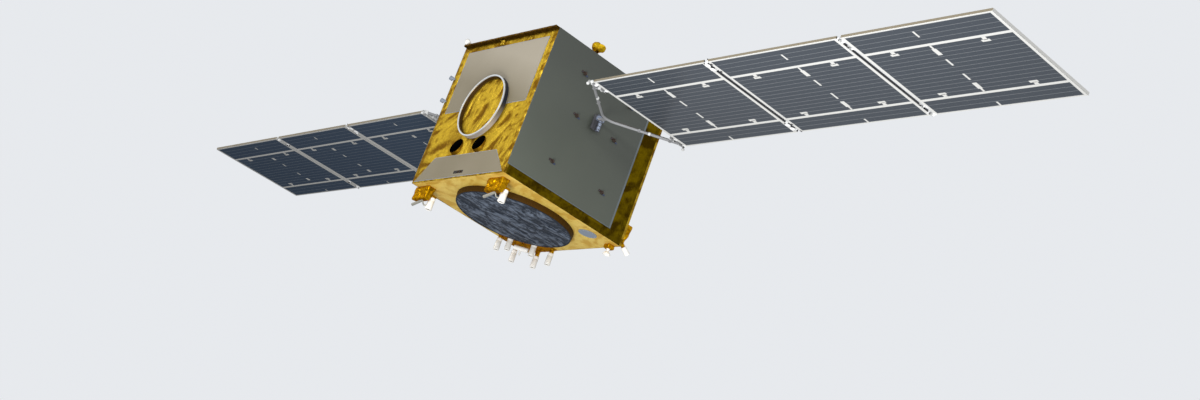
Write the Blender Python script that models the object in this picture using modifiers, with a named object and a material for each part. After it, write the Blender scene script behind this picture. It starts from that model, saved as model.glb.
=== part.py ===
"""A box-shaped satellite with a folding three-panel solar array on each side.

Metres, +Z up. The origin is the centre of the separation plane, the lowest face of the ring
that joined the satellite to its launcher. The front face looks along -Y and the arrays reach
along +X and -X. Right means +X and left means -X. Heights of pieces on the walls are counted
from the bottom deck's lower face unless a name says otherwise.
"""
import math

import bmesh
import bpy
from mathutils import Matrix, Vector

# Joints between fixed pieces, and how deep fused shapes reach into each other
SEAM = 0.0003
BITE = 0.002

# Body: two decks with four walls between them
BODY_WIDTH = 1.50
BODY_DEPTH = 1.50
BODY_HEIGHT = 1.52
WALL_THICKNESS = 0.025
DECK_THICKNESS = 0.030
TOP_DECK_THICKNESS = 0.015
TOP_DECK_OVERHANG = 0.045
TOP_DECK_LEFT_INSET = 0.018

# Separation ring and the blanket that closes it
RING_HEIGHT = 0.058
RING_BASE_RADIUS = 0.590
RING_TAPER = 0.008
RING_WALL = 0.012
CLOSEOUT_SETBACK = 0.003

# Propellant tank, inside the body
TANK_RADIUS = 0.420
TANK_HEIGHT = 1.150

# Front face: an upper radiator and a lower one with a slot
RADIATOR_THICKNESS = 0.006
UPPER_RADIATOR_SIDE_MARGIN = 0.105
UPPER_RADIATOR_TOP_MARGIN = 0.087
UPPER_RADIATOR_FOOT = 0.758
LOWER_RADIATOR_FOOT = 0.016
LOWER_RADIATOR_HEIGHT = 0.230
LOWER_RADIATOR_FOOT_MARGIN = 0.0375
LOWER_RADIATOR_TOP_MARGIN = 0.255
SLOT_WIDTH = 0.140
SLOT_HEIGHT = 0.022
SLOT_FOOT = 0.048

# Port ring on the front face, with the blanket that covers the wall inside it
PORT_OFFSET = 0.020
PORT_HEIGHT = 0.745
PORT_RADIUS = 0.331
PORT_WALL = 0.022
PORT_PROJECTION = 0.058
PORT_COVER_THICKNESS = 0.008

# Two star tracker baffles, sunk into the front wall
TRACKER_OFFSET = -0.0105
TRACKER_SPACING = 0.365
TRACKER_HEIGHT = 0.349
TRACKER_RADIUS = 0.074
TRACKER_WALL = 0.004
TRACKER_DEPTH = 0.150

# Side faces: a radiator each, with the six feet that hold the folded array
SIDE_RADIATOR_THICKNESS = 0.008
SIDE_RADIATOR_REAR_MARGIN = 0.192
SIDE_RADIATOR_FOOT = 0.090
FOOT_LENGTH = 0.094
FOOT_WIDTH = 0.046
FOOT_PAD_THICKNESS = 0.004
FOOT_HEIGHT = 0.017
FOOT_CUP_RADIUS = 0.020
FEET = (
    # along Y, height, the level that the height is counted from
    (-0.318, -0.250, "top"),
    (0.290, -0.265, "top"),
    (-0.240, -0.086, "drive"),
    (0.250, -0.082, "drive"),
    (-0.315, 0.340, "deck"),
    (0.322, 0.350, "deck"),
)

# Array drive: a housing on the wall, and a hub with two ears, a bracket and a motor that turn
ARRAY_HEIGHT = 0.948
DRIVE_RADIUS = 0.055
DRIVE_LENGTH = 0.0135
HUB_RADIUS = 0.042
HUB_LENGTH = 0.0055
HUB_EAR_REACH = 0.0171
HUB_EAR_GAP = 0.062
HUB_EAR_WIDTH = 0.014
HUB_EAR_HEIGHT = 0.028
MOTOR_RADIUS = 0.0175
MOTOR_LENGTH = 0.100
MOTOR_DROP = 0.016
MOTOR_OFFSET = 0.010
DRIVE_BRACKET_THICKNESS = 0.003
DRIVE_BRACKET_HALF_WIDTH = 0.032
DRIVE_BRACKET_FOOT = 0.120
DRIVE_ARM_OFFSET = 0.0475
DRIVE_ARM_WIDTH = 0.0225
DRIVE_ARM_DEPTH = 0.012
DRIVE_ARM_TOP = 0.024

# Yoke: a stem and one bent tube, with bars at its two ends that carry the hinges
YOKE_BARREL_RADIUS = 0.010
YOKE_STEM_WIDTH = 0.036
YOKE_STEM_THICKNESS = 0.016
YOKE_TUBE_RADIUS = 0.012
YOKE_CORNER_REACH = 0.050
YOKE_BEND_RADIUS = 0.128
YOKE_BEND_STEPS = 6
YOKE_LENGTH = 0.5635
YOKE_END_SETBACK = 0.0295
YOKE_BAR_SETBACK = 0.0245
YOKE_BAR_RADIUS = 0.008
YOKE_BAR_OVERHANG = 0.015
YOKE_BOSS_RADIUS = 0.015
YOKE_BOSS_THICKNESS = 0.026
YOKE_COLLAR_PLACES = (0.267, 0.498)

# Panels and the hinges at their ends
PANEL_COUNT = 3
PANEL_LENGTH = 1.455
PANEL_CHORD = 1.200
PANEL_THICKNESS = 0.024
PANEL_GAP = 0.045
HINGE_DROP = 0.020
HINGE_RADIUS = 0.0075
HINGE_WIDTH = 0.024
HINGE_SEAM = 0.0005
HINGE_SHIFT = 0.006
HINGE_ROOT = 0.004
HINGE_INSETS = (0.028, 0.148)

# Thrusters: a valve body that opens into a bell
THROAT_RADIUS = 0.010
THROAT_SHARE = 0.55
NOZZLE_WALL = 0.004

# Front corners: a wrapped bracket that leans to the left, a nozzle and a small side nozzle
FRONT_NOZZLE_LENGTH = 0.125
FRONT_NOZZLE_RADIUS = 0.035
FRONT_NOZZLE_BODY_RADIUS = 0.033
FRONT_NOZZLE_INSET = 0.187
FRONT_NOZZLE_DROP = 0.075
FRONT_CORNERS = (
    # word, side, the nozzle's inset from the side face, the bracket's middle from the nozzle
    ("left", -1, 0.148, -0.062),
    ("right", 1, 0.166, -0.050),
)
BRACKET_ROOT_WIDTH = 0.225
BRACKET_ROOT_DEPTH = 0.084
BRACKET_ROOT_DROP = 0.012
BRACKET_WIDTH = 0.220
BRACKET_DEPTH = 0.060
BRACKET_DROP = 0.125
BRACKET_LEAN = 0.018
BRACKET_FRONT_INSET = 0.067
SHELF_WIDTH = 0.064
SHELF_THICKNESS = 0.020
SHELF_REACH = 0.030
SIDE_THRUSTER_RADIUS = 0.012
SIDE_THRUSTER_END_RADIUS = 0.015
SIDE_THRUSTER_LENGTH = 0.150
SIDE_THRUSTER_GAP = 0.018
SIDE_THRUSTER_DROP = 0.006
SIDE_THRUSTER_SAG = 0.032
SIDE_THRUSTER_BACK = 0.085
CLAMP_WIDTH = 0.016
CLAMP_DEPTH = 0.020

# Main thruster group at the rear left, placed about the separation ring
GROUP_NOZZLE_LENGTH = 0.125
GROUP_NOZZLE_RADIUS = 0.030
GROUP_NOZZLE_BODY_RADIUS = 0.028
GROUP_PLATE_THICKNESS = 0.012
GROUP_POST_RADIUS = 0.022
GROUP_NOZZLES = (
    # degrees from +X, beyond the ring's base, how far its upper end is below the deck
    (152.3, 0.121, 0.055),
    (144.0, 0.096, 0.025),
    (139.9, 0.329, 0.055),
    (122.4, 0.074, 0.025),
    (124.5, 0.286, 0.068),
    (109.0, 0.1525, 0.055),
)
GROUP_PLATE_NEAR = (108.0, 158.0, 0.040)
GROUP_PLATE_FAR = (
    # degrees from +X, beyond the ring's base
    (157.6, 0.118),
    (150.3, 0.2565),
    (138.5, 0.391),
    (129.7, 0.3815),
    (111.9, 0.216),
    (105.6, 0.173),
    (107.1, 0.106),
)
LEVEL_THRUSTER_PLACE = (133.3, 0.108, 0.089)
LEVEL_THRUSTER_LENGTH = 0.143
LEVEL_THRUSTER_RADIUS = 0.024
LEVEL_POST_RADIUS = 0.016
LEVEL_STUB_RADIUS = 0.011
LEVEL_STUB_LENGTH = 0.045

# Rear right corner: a block behind the wall with a slanting nozzle, a foot with another
BLOCK_INSETS = (0.005, 0.140)
BLOCK_ROOT_DEPTH = 0.022
BLOCK_DEPTH = 0.060
BLOCK_HEIGHTS = (0.040, 0.165, 0.235)
SLANT_NOZZLE_INSET = 0.050
SLANT_NOZZLE_REACH = 0.066
SLANT_NOZZLE_HEIGHT = 0.030
SLANT_NOZZLE_DIP = 31.5
SLANT_NOZZLE_LENGTH = 0.085
SLANT_NOZZLE_RADIUS = 0.028
SLANT_NOZZLE_BODY_RADIUS = 0.025
SLANT_BOSS_LENGTH = 0.050
SLANT_BOSS_RADIUS = 0.018
CORNER_FOOT_INSETS = (0.068, 0.145)
CORNER_FOOT_REAR_INSETS = (0.015, 0.085)
CORNER_FOOT_HEIGHT = 0.045
CORNER_NOZZLE_LENGTH = 0.062
CORNER_NOZZLE_RADIUS = 0.0395
CORNER_NOZZLE_BODY_RADIUS = 0.016

# Small pieces on the decks and walls
LID_PLACE = (38.5, 0.1495)
LID_RADIUS = 0.092
LID_THICKNESS = 0.004
KNOB_INSET = 0.050
KNOB_FROM_FRONT = 0.504
KNOB_STEM_RADIUS = 0.022
KNOB_STEM_HEIGHT = 0.050
KNOB_RADIUS = 0.064
KNOB_HEIGHT = 0.084
MAST_INSET = 0.028
MAST_REACH = 0.025
MAST_RADIUS = 0.012
MAST_HEIGHT = 0.036
SENSOR_RADIUS = 0.026
SENSOR_TOP_RADIUS = 0.018
SENSOR_LENGTH = 0.050
SENSOR_SINK = 0.014
SENSOR_TILT = 35.0
EDGE_SENSOR_RADIUS = 0.019
EDGE_SENSOR_LENGTH = 0.024
EDGE_SENSOR_STAND = 0.014
EDGE_SENSOR_OVERHANG = 0.008
EDGE_STAND_INSET = 0.014
EDGE_STAND_RADIUS = 0.010
EDGE_SENSORS = (("upper", 1.155), ("lower", 0.903))

# Places that follow from the sizes
HALF_WIDTH = BODY_WIDTH / 2
HALF_DEPTH = BODY_DEPTH / 2
DECK_Z = RING_HEIGHT
UNDER_DECK = DECK_Z - SEAM
TOP_Z = DECK_Z + BODY_HEIGHT
WALL_LOW = DECK_Z + DECK_THICKNESS + SEAM
WALL_HIGH = TOP_Z - TOP_DECK_THICKNESS - SEAM
FRONT_Y = -HALF_DEPTH - SEAM
ARRAY_Z = DECK_Z + ARRAY_HEIGHT
LEVELS = {"deck": DECK_Z, "drive": ARRAY_Z, "top": TOP_Z}
SKIN_X = HALF_WIDTH + SEAM + SIDE_RADIATOR_THICKNESS
HUB_X = SKIN_X + SEAM + DRIVE_LENGTH + SEAM
HUB_FACE_X = HUB_X + HUB_LENGTH
YOKE_HINGE_X = HUB_FACE_X + HUB_EAR_REACH
PANEL_HINGE_X = YOKE_HINGE_X + YOKE_LENGTH
PANEL_PITCH = PANEL_LENGTH + PANEL_GAP
HINGES = [sign * (PANEL_CHORD / 2 - inset) for inset in HINGE_INSETS for sign in (-1, 1)]


def material(name, colour, roughness, metallic):
    made = bpy.data.materials.new(name)
    made.use_nodes = True
    shader = made.node_tree.nodes["Principled BSDF"]
    shader.inputs["Base Color"].default_value = (*colour, 1.0)
    shader.inputs["Roughness"].default_value = roughness
    shader.inputs["Metallic"].default_value = metallic
    made.diffuse_color = (*colour, 1.0)
    return made


def start():
    """Empties the scene and makes the collection of the satellite."""
    for thing in list(bpy.data.objects):
        bpy.data.objects.remove(thing, do_unlink=True)
    collection = bpy.data.collections.new("satellite")
    bpy.context.scene.collection.children.link(collection)
    return collection


SATELLITE = start()
GOLD = material("gold_blanket", (0.60, 0.38, 0.05), 0.35, 0.9)
GREY = material("radiator_grey", (0.33, 0.34, 0.29), 0.5, 0.0)
SILVER = material("aluminium", (0.62, 0.63, 0.65), 0.35, 0.9)
BRONZE = material("dark_bronze", (0.09, 0.06, 0.02), 0.4, 0.6)
SLATE = material("slate_blanket", (0.10, 0.12, 0.16), 0.4, 0.3)
DARK = material("dark_composite", (0.03, 0.03, 0.035), 0.5, 0.0)
WHITE = material("white_ceramic", (0.82, 0.81, 0.78), 0.5, 0.0)
CELLS = material("solar_cells", (0.06, 0.08, 0.13), 0.2, 0.0)


def add(name, mesh, finish):
    """Makes a named object of a mesh."""
    mesh.materials.clear()
    mesh.materials.append(finish)
    thing = bpy.data.objects.new(name, mesh)
    SATELLITE.objects.link(thing)
    return thing


def mesh_from(shape, name):
    mesh = bpy.data.meshes.new(name)
    shape.to_mesh(mesh)
    shape.free()
    return mesh


def add_cube(shape, low, high):
    """Adds a box between two corners, given in either order."""
    middle = [(a + b) / 2 for a, b in zip(low, high)]
    size = [abs(b - a) for a, b in zip(low, high)]
    place = Matrix.Translation(middle) @ Matrix.Diagonal((*size, 1.0))
    bmesh.ops.create_cube(shape, size=1.0, matrix=place)


def add_rod(shape, start_point, end_point, radius, end_radius=None, segments=16):
    """Adds a closed cylinder or cone between two points."""
    start_point = Vector(start_point)
    axis = Vector(end_point) - start_point
    turn = axis.to_track_quat("Z", "Y").to_matrix().to_4x4()
    place = Matrix.Translation(start_point + axis / 2) @ turn
    far_radius = radius if end_radius is None else end_radius
    bmesh.ops.create_cone(shape, cap_ends=True, segments=segments, radius1=radius,
                          radius2=far_radius, depth=axis.length, matrix=place)


def box(name, low, high, finish):
    shape = bmesh.new()
    add_cube(shape, low, high)
    return add(name, mesh_from(shape, name), finish)


def rod(name, start_point, end_point, radius, finish, end_radius=None, segments=16):
    shape = bmesh.new()
    add_rod(shape, start_point, end_point, radius, end_radius, segments)
    return add(name, mesh_from(shape, name), finish)


def hull(name, finish, fill):
    """Makes the convex skin around the shapes that fill() adds."""
    shape = bmesh.new()
    fill(shape)
    corners = [corner.co.copy() for corner in shape.verts]
    shape.clear()
    for corner in corners:
        shape.verts.new(corner)
    bmesh.ops.convex_hull(shape, input=shape.verts)
    spare = [corner for corner in shape.verts if not corner.link_faces]
    bmesh.ops.delete(shape, geom=spare, context="VERTS")
    bmesh.ops.recalc_face_normals(shape, faces=shape.faces)
    return add(name, mesh_from(shape, name), finish)


def from_curve(name, curve, place, finish):
    """Makes a closed mesh of a curve, in its place."""
    guide = bpy.data.objects.new(name + "_guide", curve)
    SATELLITE.objects.link(guide)
    bpy.context.view_layer.update()
    evaluated = guide.evaluated_get(bpy.context.evaluated_depsgraph_get())
    mesh = bpy.data.meshes.new_from_object(evaluated)
    bpy.data.objects.remove(guide, do_unlink=True)
    shape = bmesh.new()
    shape.from_mesh(mesh)
    bmesh.ops.remove_doubles(shape, verts=shape.verts, dist=0.00001)
    bmesh.ops.transform(shape, matrix=place, verts=shape.verts)
    bmesh.ops.recalc_face_normals(shape, faces=shape.faces)
    shape.to_mesh(mesh)
    shape.free()
    return add(name, mesh, finish)


def plate(name, outline, thickness, place, finish):
    """Makes a flat plate from a closed outline in its own plane, then puts it in place."""
    curve = bpy.data.curves.new(name, "CURVE")
    curve.dimensions = "2D"
    curve.fill_mode = "BOTH"
    curve.extrude = thickness / 2
    spline = curve.splines.new("POLY")
    spline.points.add(len(outline) - 1)
    for point, (across, up) in zip(spline.points, outline):
        point.co = (across, up, 0.0, 1.0)
    spline.use_cyclic_u = True
    return from_curve(name, curve, place, finish)


def tube(name, route, radius, finish):
    """Makes a round tube along a route of points."""
    curve = bpy.data.curves.new(name, "CURVE")
    curve.dimensions = "3D"
    curve.bevel_depth = radius
    curve.bevel_resolution = 4
    curve.use_fill_caps = True
    spline = curve.splines.new("POLY")
    spline.points.add(len(route) - 1)
    for point, place in zip(spline.points, route):
        point.co = (*place, 1.0)
    return from_curve(name, curve, Matrix.Identity(4), finish)


def turned(name, profile, place, finish, steps=64):
    """Turns a closed profile of (radius, height), down its outer side first, about its Z axis."""
    shape = bmesh.new()
    points = [shape.verts.new((radius, 0.0, height)) for radius, height in profile]
    for first, second in zip(points, points[1:] + points[:1]):
        shape.edges.new((first, second))
    thing = add(name, mesh_from(shape, name), finish)
    screw = thing.modifiers.new("turn", "SCREW")
    screw.steps = steps
    screw.render_steps = steps
    screw.use_merge_vertices = True
    screw.merge_threshold = 0.00001
    thing.matrix_world = place
    return settle(thing)


def settle(thing):
    """Applies a piece's modifiers and its place, so that its mesh is in the satellite's frame."""
    bpy.context.view_layer.update()
    evaluated = thing.evaluated_get(bpy.context.evaluated_depsgraph_get())
    mesh = bpy.data.meshes.new_from_object(evaluated)
    mesh.transform(thing.matrix_world)
    thing.modifiers.clear()
    thing.data = mesh
    thing.matrix_world = Matrix.Identity(4)
    return thing


def combine(thing, others, operation):
    """Joins other pieces to one, or cuts them from it, and removes them."""
    for other in others:
        change = thing.modifiers.new(operation, "BOOLEAN")
        change.operation = operation
        change.solver = "EXACT"
        change.object = other
    settle(thing)
    for other in others:
        bpy.data.objects.remove(other, do_unlink=True)
    return thing


def joint(name, place, parent=None):
    """Makes the empty that stands on a joint's axis."""
    pivot = bpy.data.objects.new(name, None)
    pivot.empty_display_size = 0.1
    SATELLITE.objects.link(pivot)
    pivot.location = Vector(place)
    if parent is not None:
        pivot.location -= parent.matrix_world.translation
        pivot.parent = parent
    bpy.context.view_layer.update()
    return pivot


def carry(pivot, thing):
    """Hangs a piece on a joint, with its origin on the joint's axis."""
    thing.data.transform(Matrix.Translation(-pivot.matrix_world.translation))
    thing.parent = pivot


def on_ring(angle, beyond):
    """A point in plan, at an angle in degrees from +X and a distance outside the ring's base."""
    radius = RING_BASE_RADIUS + beyond
    return radius * math.cos(math.radians(angle)), radius * math.sin(math.radians(angle))


def tracker_place(side):
    return Vector((TRACKER_OFFSET + side * TRACKER_SPACING / 2, -HALF_DEPTH, DECK_Z + TRACKER_HEIGHT))


def make_body():
    """Decks, walls and the tank inside."""
    box("bottom_deck", (-HALF_WIDTH, -HALF_DEPTH, DECK_Z),
        (HALF_WIDTH, HALF_DEPTH, DECK_Z + DECK_THICKNESS), GOLD)
    under_top = TOP_Z - TOP_DECK_THICKNESS
    top = box("top_deck", (-HALF_WIDTH, -HALF_DEPTH, under_top), (HALF_WIDTH, HALF_DEPTH, TOP_Z), GOLD)
    brim = box("brim", (-HALF_WIDTH + TOP_DECK_LEFT_INSET, -HALF_DEPTH - TOP_DECK_OVERHANG, under_top),
               (HALF_WIDTH, -HALF_DEPTH + BITE, TOP_Z), GOLD)
    combine(top, [brim], "UNION")
    front = box("front_wall", (-HALF_WIDTH, -HALF_DEPTH, WALL_LOW),
                (HALF_WIDTH, -HALF_DEPTH + WALL_THICKNESS, WALL_HIGH), GOLD)
    holes = []
    for side in (-1, 1):
        centre = tracker_place(side)
        through = Vector((0, 2 * WALL_THICKNESS, 0))
        holes.append(rod("tracker_hole", centre - through, centre + through,
                         TRACKER_RADIUS + TRACKER_WALL + SEAM, GOLD, segments=32))
    combine(front, holes, "DIFFERENCE")
    box("rear_wall", (-HALF_WIDTH, HALF_DEPTH - WALL_THICKNESS, WALL_LOW),
        (HALF_WIDTH, HALF_DEPTH, WALL_HIGH), GOLD)
    inside = HALF_DEPTH - WALL_THICKNESS - SEAM
    for name, side in (("right_wall", 1), ("left_wall", -1)):
        box(name, (side * (HALF_WIDTH - WALL_THICKNESS), -inside, WALL_LOW),
            (side * HALF_WIDTH, inside, WALL_HIGH), GOLD)
    rod("propellant_tank", (0, 0, WALL_LOW), (0, 0, WALL_LOW + TANK_HEIGHT), TANK_RADIUS,
        SILVER, segments=48)


def make_separation_ring():
    """The conical ring under the body, and the blanket that closes it."""
    foot_radius = RING_BASE_RADIUS - RING_TAPER
    turned("separation_ring", (
        (RING_BASE_RADIUS, UNDER_DECK),
        (foot_radius, 0.0),
        (foot_radius - RING_WALL, 0.0),
        (RING_BASE_RADIUS - RING_WALL, UNDER_DECK)), Matrix.Identity(4), BRONZE)
    rod("aft_closeout", (0, 0, CLOSEOUT_SETBACK), (0, 0, UNDER_DECK),
        foot_radius - RING_WALL - SEAM, SLATE, segments=64)


def make_front():
    """The front face: two radiators, the port ring with its cover, and two baffles."""
    upright = Matrix.Rotation(math.radians(90), 4, "X")
    port = Vector((PORT_OFFSET, FRONT_Y, DECK_Z + PORT_HEIGHT))
    half_width = HALF_WIDTH - UPPER_RADIATOR_SIDE_MARGIN
    upper = box("front_upper_radiator",
                (-half_width, FRONT_Y - RADIATOR_THICKNESS, DECK_Z + UPPER_RADIATOR_FOOT),
                (half_width, FRONT_Y, TOP_Z - UPPER_RADIATOR_TOP_MARGIN), GREY)
    through = Vector((0, 2 * RADIATOR_THICKNESS, 0))
    notch = rod("port_notch", port - through, port + through, PORT_RADIUS + SEAM, GREY, segments=64)
    combine(upper, [notch], "DIFFERENCE")
    foot_half = HALF_WIDTH - LOWER_RADIATOR_FOOT_MARGIN
    top_half = HALF_WIDTH - LOWER_RADIATOR_TOP_MARGIN
    foot_z = DECK_Z + LOWER_RADIATOR_FOOT
    top_z = foot_z + LOWER_RADIATOR_HEIGHT
    outline = ((-foot_half, foot_z), (foot_half, foot_z), (top_half, top_z), (-top_half, top_z))
    lower = plate("front_lower_radiator", outline, RADIATOR_THICKNESS,
                  Matrix.Translation((0, FRONT_Y - RADIATOR_THICKNESS / 2, 0)) @ upright, GREY)
    slot_z = DECK_Z + SLOT_FOOT
    slot = box("slot", (-SLOT_WIDTH / 2, FRONT_Y - through.y, slot_z),
               (SLOT_WIDTH / 2, FRONT_Y + through.y, slot_z + SLOT_HEIGHT), GREY)
    combine(lower, [slot], "DIFFERENCE")
    turned("payload_port_ring", (
        (PORT_RADIUS, PORT_PROJECTION),
        (PORT_RADIUS, 0.0),
        (PORT_RADIUS - PORT_WALL, 0.0),
        (PORT_RADIUS - PORT_WALL, PORT_PROJECTION)), Matrix.Translation(port) @ upright, SILVER)
    rod("payload_port_cover", port, port - Vector((0, PORT_COVER_THICKNESS, 0)),
        PORT_RADIUS - PORT_WALL - SEAM, GOLD, segments=64)
    for name, side in (("star_tracker_left", -1), ("star_tracker_right", 1)):
        outer = TRACKER_RADIUS + TRACKER_WALL
        floor = -TRACKER_DEPTH + TRACKER_WALL
        turned(name, (
            (outer, 0.0),
            (outer, -TRACKER_DEPTH),
            (0.0, -TRACKER_DEPTH),
            (0.0, floor),
            (TRACKER_RADIUS, floor),
            (TRACKER_RADIUS, 0.0)), Matrix.Translation(tracker_place(side)) @ upright, DARK, steps=32)


def foot(side, along, height):
    """One hold-down foot: a pad on the radiator that rises to a round cup."""
    centre = Vector((side * (SKIN_X - BITE), along, height))
    pad = Vector((0, FOOT_LENGTH / 2, FOOT_WIDTH / 2))
    pad_rise = Vector((side * (FOOT_PAD_THICKNESS + BITE), 0, 0))
    cup_rise = Vector((side * (FOOT_HEIGHT + BITE), 0, 0))

    def fill(shape):
        add_cube(shape, centre - pad, centre + pad + pad_rise)
        add_rod(shape, centre, centre + cup_rise, FOOT_CUP_RADIUS, segments=12)
    return hull("foot", DARK, fill)


def make_side(side, word):
    """A side radiator, with the feet that hold the folded array."""
    skin = box(word + "_radiator", (side * (HALF_WIDTH + SEAM), -HALF_DEPTH, DECK_Z + SIDE_RADIATOR_FOOT),
               (side * SKIN_X, HALF_DEPTH - SIDE_RADIATOR_REAR_MARGIN, TOP_Z), GREY)
    feet = [foot(side, along, LEVELS[level] + height) for along, height, level in FEET]
    combine(skin, feet, "UNION")


def ear(side, end):
    """One of the hub's two ears, which hold the yoke's hinge."""
    inner_y = end * HUB_EAR_GAP / 2
    outer_y = end * (HUB_EAR_GAP / 2 + HUB_EAR_WIDTH)
    half = HUB_EAR_HEIGHT / 2

    def fill(shape):
        add_cube(shape, (side * (HUB_FACE_X - BITE), inner_y, ARRAY_Z - half),
                 (side * (HUB_FACE_X + BITE / 2), outer_y, ARRAY_Z + half))
        add_rod(shape, (side * YOKE_HINGE_X, inner_y, ARRAY_Z), (side * YOKE_HINGE_X, outer_y, ARRAY_Z),
                YOKE_BARREL_RADIUS, segments=12)
    return hull("ear", DARK, fill)


def make_drive(side, word):
    """The drive's housing on the wall, and what turns in front of it on the drive's joint."""
    rod(word + "_drive_housing", (side * (SKIN_X + SEAM), 0, ARRAY_Z),
        (side * (HUB_X - SEAM), 0, ARRAY_Z), DRIVE_RADIUS, DARK, segments=32)
    drive = joint(word + "_array_drive", (side * HALF_WIDTH, 0, ARRAY_Z))
    hub = rod(word + "_drive_hub", (side * HUB_X, 0, ARRAY_Z), (side * HUB_FACE_X, 0, ARRAY_Z),
              HUB_RADIUS, DARK, segments=32)
    combine(hub, [ear(side, -1), ear(side, 1)], "UNION")
    carry(drive, hub)
    root_x = HUB_FACE_X + SEAM
    arm_y = -DRIVE_ARM_OFFSET - DRIVE_ARM_WIDTH
    bracket = box(word + "_drive_bracket", (side * root_x, arm_y, ARRAY_Z - DRIVE_BRACKET_FOOT),
                  (side * (root_x + DRIVE_BRACKET_THICKNESS), DRIVE_BRACKET_HALF_WIDTH,
                   ARRAY_Z - HUB_EAR_HEIGHT / 2 - BITE), DARK)
    arm = box("arm", (side * root_x, arm_y, ARRAY_Z - DRIVE_BRACKET_FOOT),
              (side * (root_x + DRIVE_ARM_DEPTH), -DRIVE_ARM_OFFSET, ARRAY_Z + DRIVE_ARM_TOP), DARK)
    combine(bracket, [arm], "UNION")
    carry(drive, bracket)
    motor_x = side * (root_x + DRIVE_BRACKET_THICKNESS + SEAM + MOTOR_RADIUS)
    top = ARRAY_Z - MOTOR_DROP
    motor = rod(word + "_drive_motor", (motor_x, MOTOR_OFFSET, top),
                (motor_x, MOTOR_OFFSET, top - MOTOR_LENGTH), MOTOR_RADIUS, SILVER, segments=24)
    carry(drive, motor)
    return drive


def lug(y_low, y_high, root_x, axis_x, axis_z):
    """A hinge lug from an edge to a hinge axis above or below it."""
    inward = math.copysign(HINGE_ROOT, root_x - axis_x)
    thick = PANEL_THICKNESS / 2 - BITE / 2

    def fill(shape):
        add_cube(shape, (root_x, y_low, ARRAY_Z - thick), (root_x + inward, y_high, ARRAY_Z + thick))
        add_rod(shape, (axis_x, y_low, axis_z), (axis_x, y_high, axis_z), HINGE_RADIUS, segments=12)
    return hull("lug", SILVER, fill)


def near_lug(y, root_x, axis_x, axis_z):
    """The lug on the side of a hinge that is nearer the body."""
    return lug(y + HINGE_SHIFT - HINGE_WIDTH, y + HINGE_SHIFT - HINGE_SEAM, root_x, axis_x, axis_z)


def far_lug(y, root_x, axis_x, axis_z):
    """The lug on the far side of a hinge, beside the near one."""
    return lug(y + HINGE_SHIFT, y + HINGE_SHIFT + HINGE_WIDTH - HINGE_SEAM, root_x, axis_x, axis_z)


def hinge_axis(side, number):
    """Where the hinge line at a panel's root edge is: below the panels, then above, in turn."""
    drop = -HINGE_DROP if number % 2 else HINGE_DROP
    return side * (PANEL_HINGE_X + (number - 1) * PANEL_PITCH), ARRAY_Z + drop


def make_yoke(side, word, drive):
    """The yoke, which folds on the hub's ears and carries the first panel's hinges."""
    fold = joint(word + "_yoke_fold", (side * YOKE_HINGE_X, 0, ARRAY_Z), drive)
    half_barrel = HUB_EAR_GAP / 2 - HINGE_SEAM
    yoke = rod(word + "_yoke", (side * YOKE_HINGE_X, -half_barrel, ARRAY_Z),
               (side * YOKE_HINGE_X, half_barrel, ARRAY_Z), YOKE_BARREL_RADIUS, SILVER, segments=16)

    # The tube: two straight arms that meet in a round bend
    spread = HINGES[1]
    corner_x = YOKE_HINGE_X + YOKE_CORNER_REACH
    end_x = PANEL_HINGE_X - YOKE_END_SETBACK
    slope = math.atan2(spread, end_x - corner_x)
    centre_x = corner_x + YOKE_BEND_RADIUS / math.sin(slope)
    sweep = math.radians(90) - slope
    route = [(side * end_x, -spread, ARRAY_Z)]
    for step in range(YOKE_BEND_STEPS + 1):
        turn = sweep * (2 * step / YOKE_BEND_STEPS - 1)
        route.append((side * (centre_x - YOKE_BEND_RADIUS * math.cos(turn)),
                      YOKE_BEND_RADIUS * math.sin(turn), ARRAY_Z))
    route.append((side * end_x, spread, ARRAY_Z))
    pieces = [tube("tube", route, YOKE_TUBE_RADIUS, SILVER)]
    stem_half = YOKE_STEM_WIDTH / 2
    stem_thick = YOKE_STEM_THICKNESS / 2
    apex_x = centre_x - YOKE_BEND_RADIUS
    pieces.append(box("stem", (side * YOKE_HINGE_X, -stem_half, ARRAY_Z - stem_thick),
                      (side * apex_x, stem_half, ARRAY_Z + stem_thick), SILVER))

    # At each end a bar along the hinge line, a strut back to the arm, and bosses where they meet
    bar_x = PANEL_HINGE_X - YOKE_BAR_SETBACK
    boss_half = Vector((0, 0, YOKE_BOSS_THICKNESS / 2))
    collar_out = YOKE_COLLAR_PLACES[-1]
    for sign in (-1, 1):
        outer_y = sign * spread
        inner_y = sign * HINGES[3]
        bosses = [Vector((side * bar_x, y, ARRAY_Z)) for y in (outer_y, inner_y)]
        for out in YOKE_COLLAR_PLACES:
            arm_x = end_x - (spread - out) / math.tan(slope)
            bosses.append(Vector((side * arm_x, sign * out, ARRAY_Z)))
        for place in bosses:
            pieces.append(rod("boss", place - boss_half, place + boss_half, YOKE_BOSS_RADIUS, SILVER,
                              segments=12))
        overhang = Vector((0, sign * YOKE_BAR_OVERHANG, 0))
        pieces.append(rod("bar", bosses[0] + overhang, bosses[1] - overhang, YOKE_BAR_RADIUS, SILVER,
                          segments=12))
        strut_x = end_x - (spread - collar_out) / math.tan(slope)
        pieces.append(rod("strut", (side * strut_x, sign * collar_out, ARRAY_Z), bosses[1],
                          YOKE_BAR_RADIUS, SILVER, segments=12))
    axis_x, axis_z = hinge_axis(side, 1)
    for y in HINGES:
        pieces.append(near_lug(y, side * (bar_x + HINGE_ROOT), axis_x, axis_z))
    combine(yoke, pieces, "UNION")
    carry(fold, yoke)
    return fold


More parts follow.
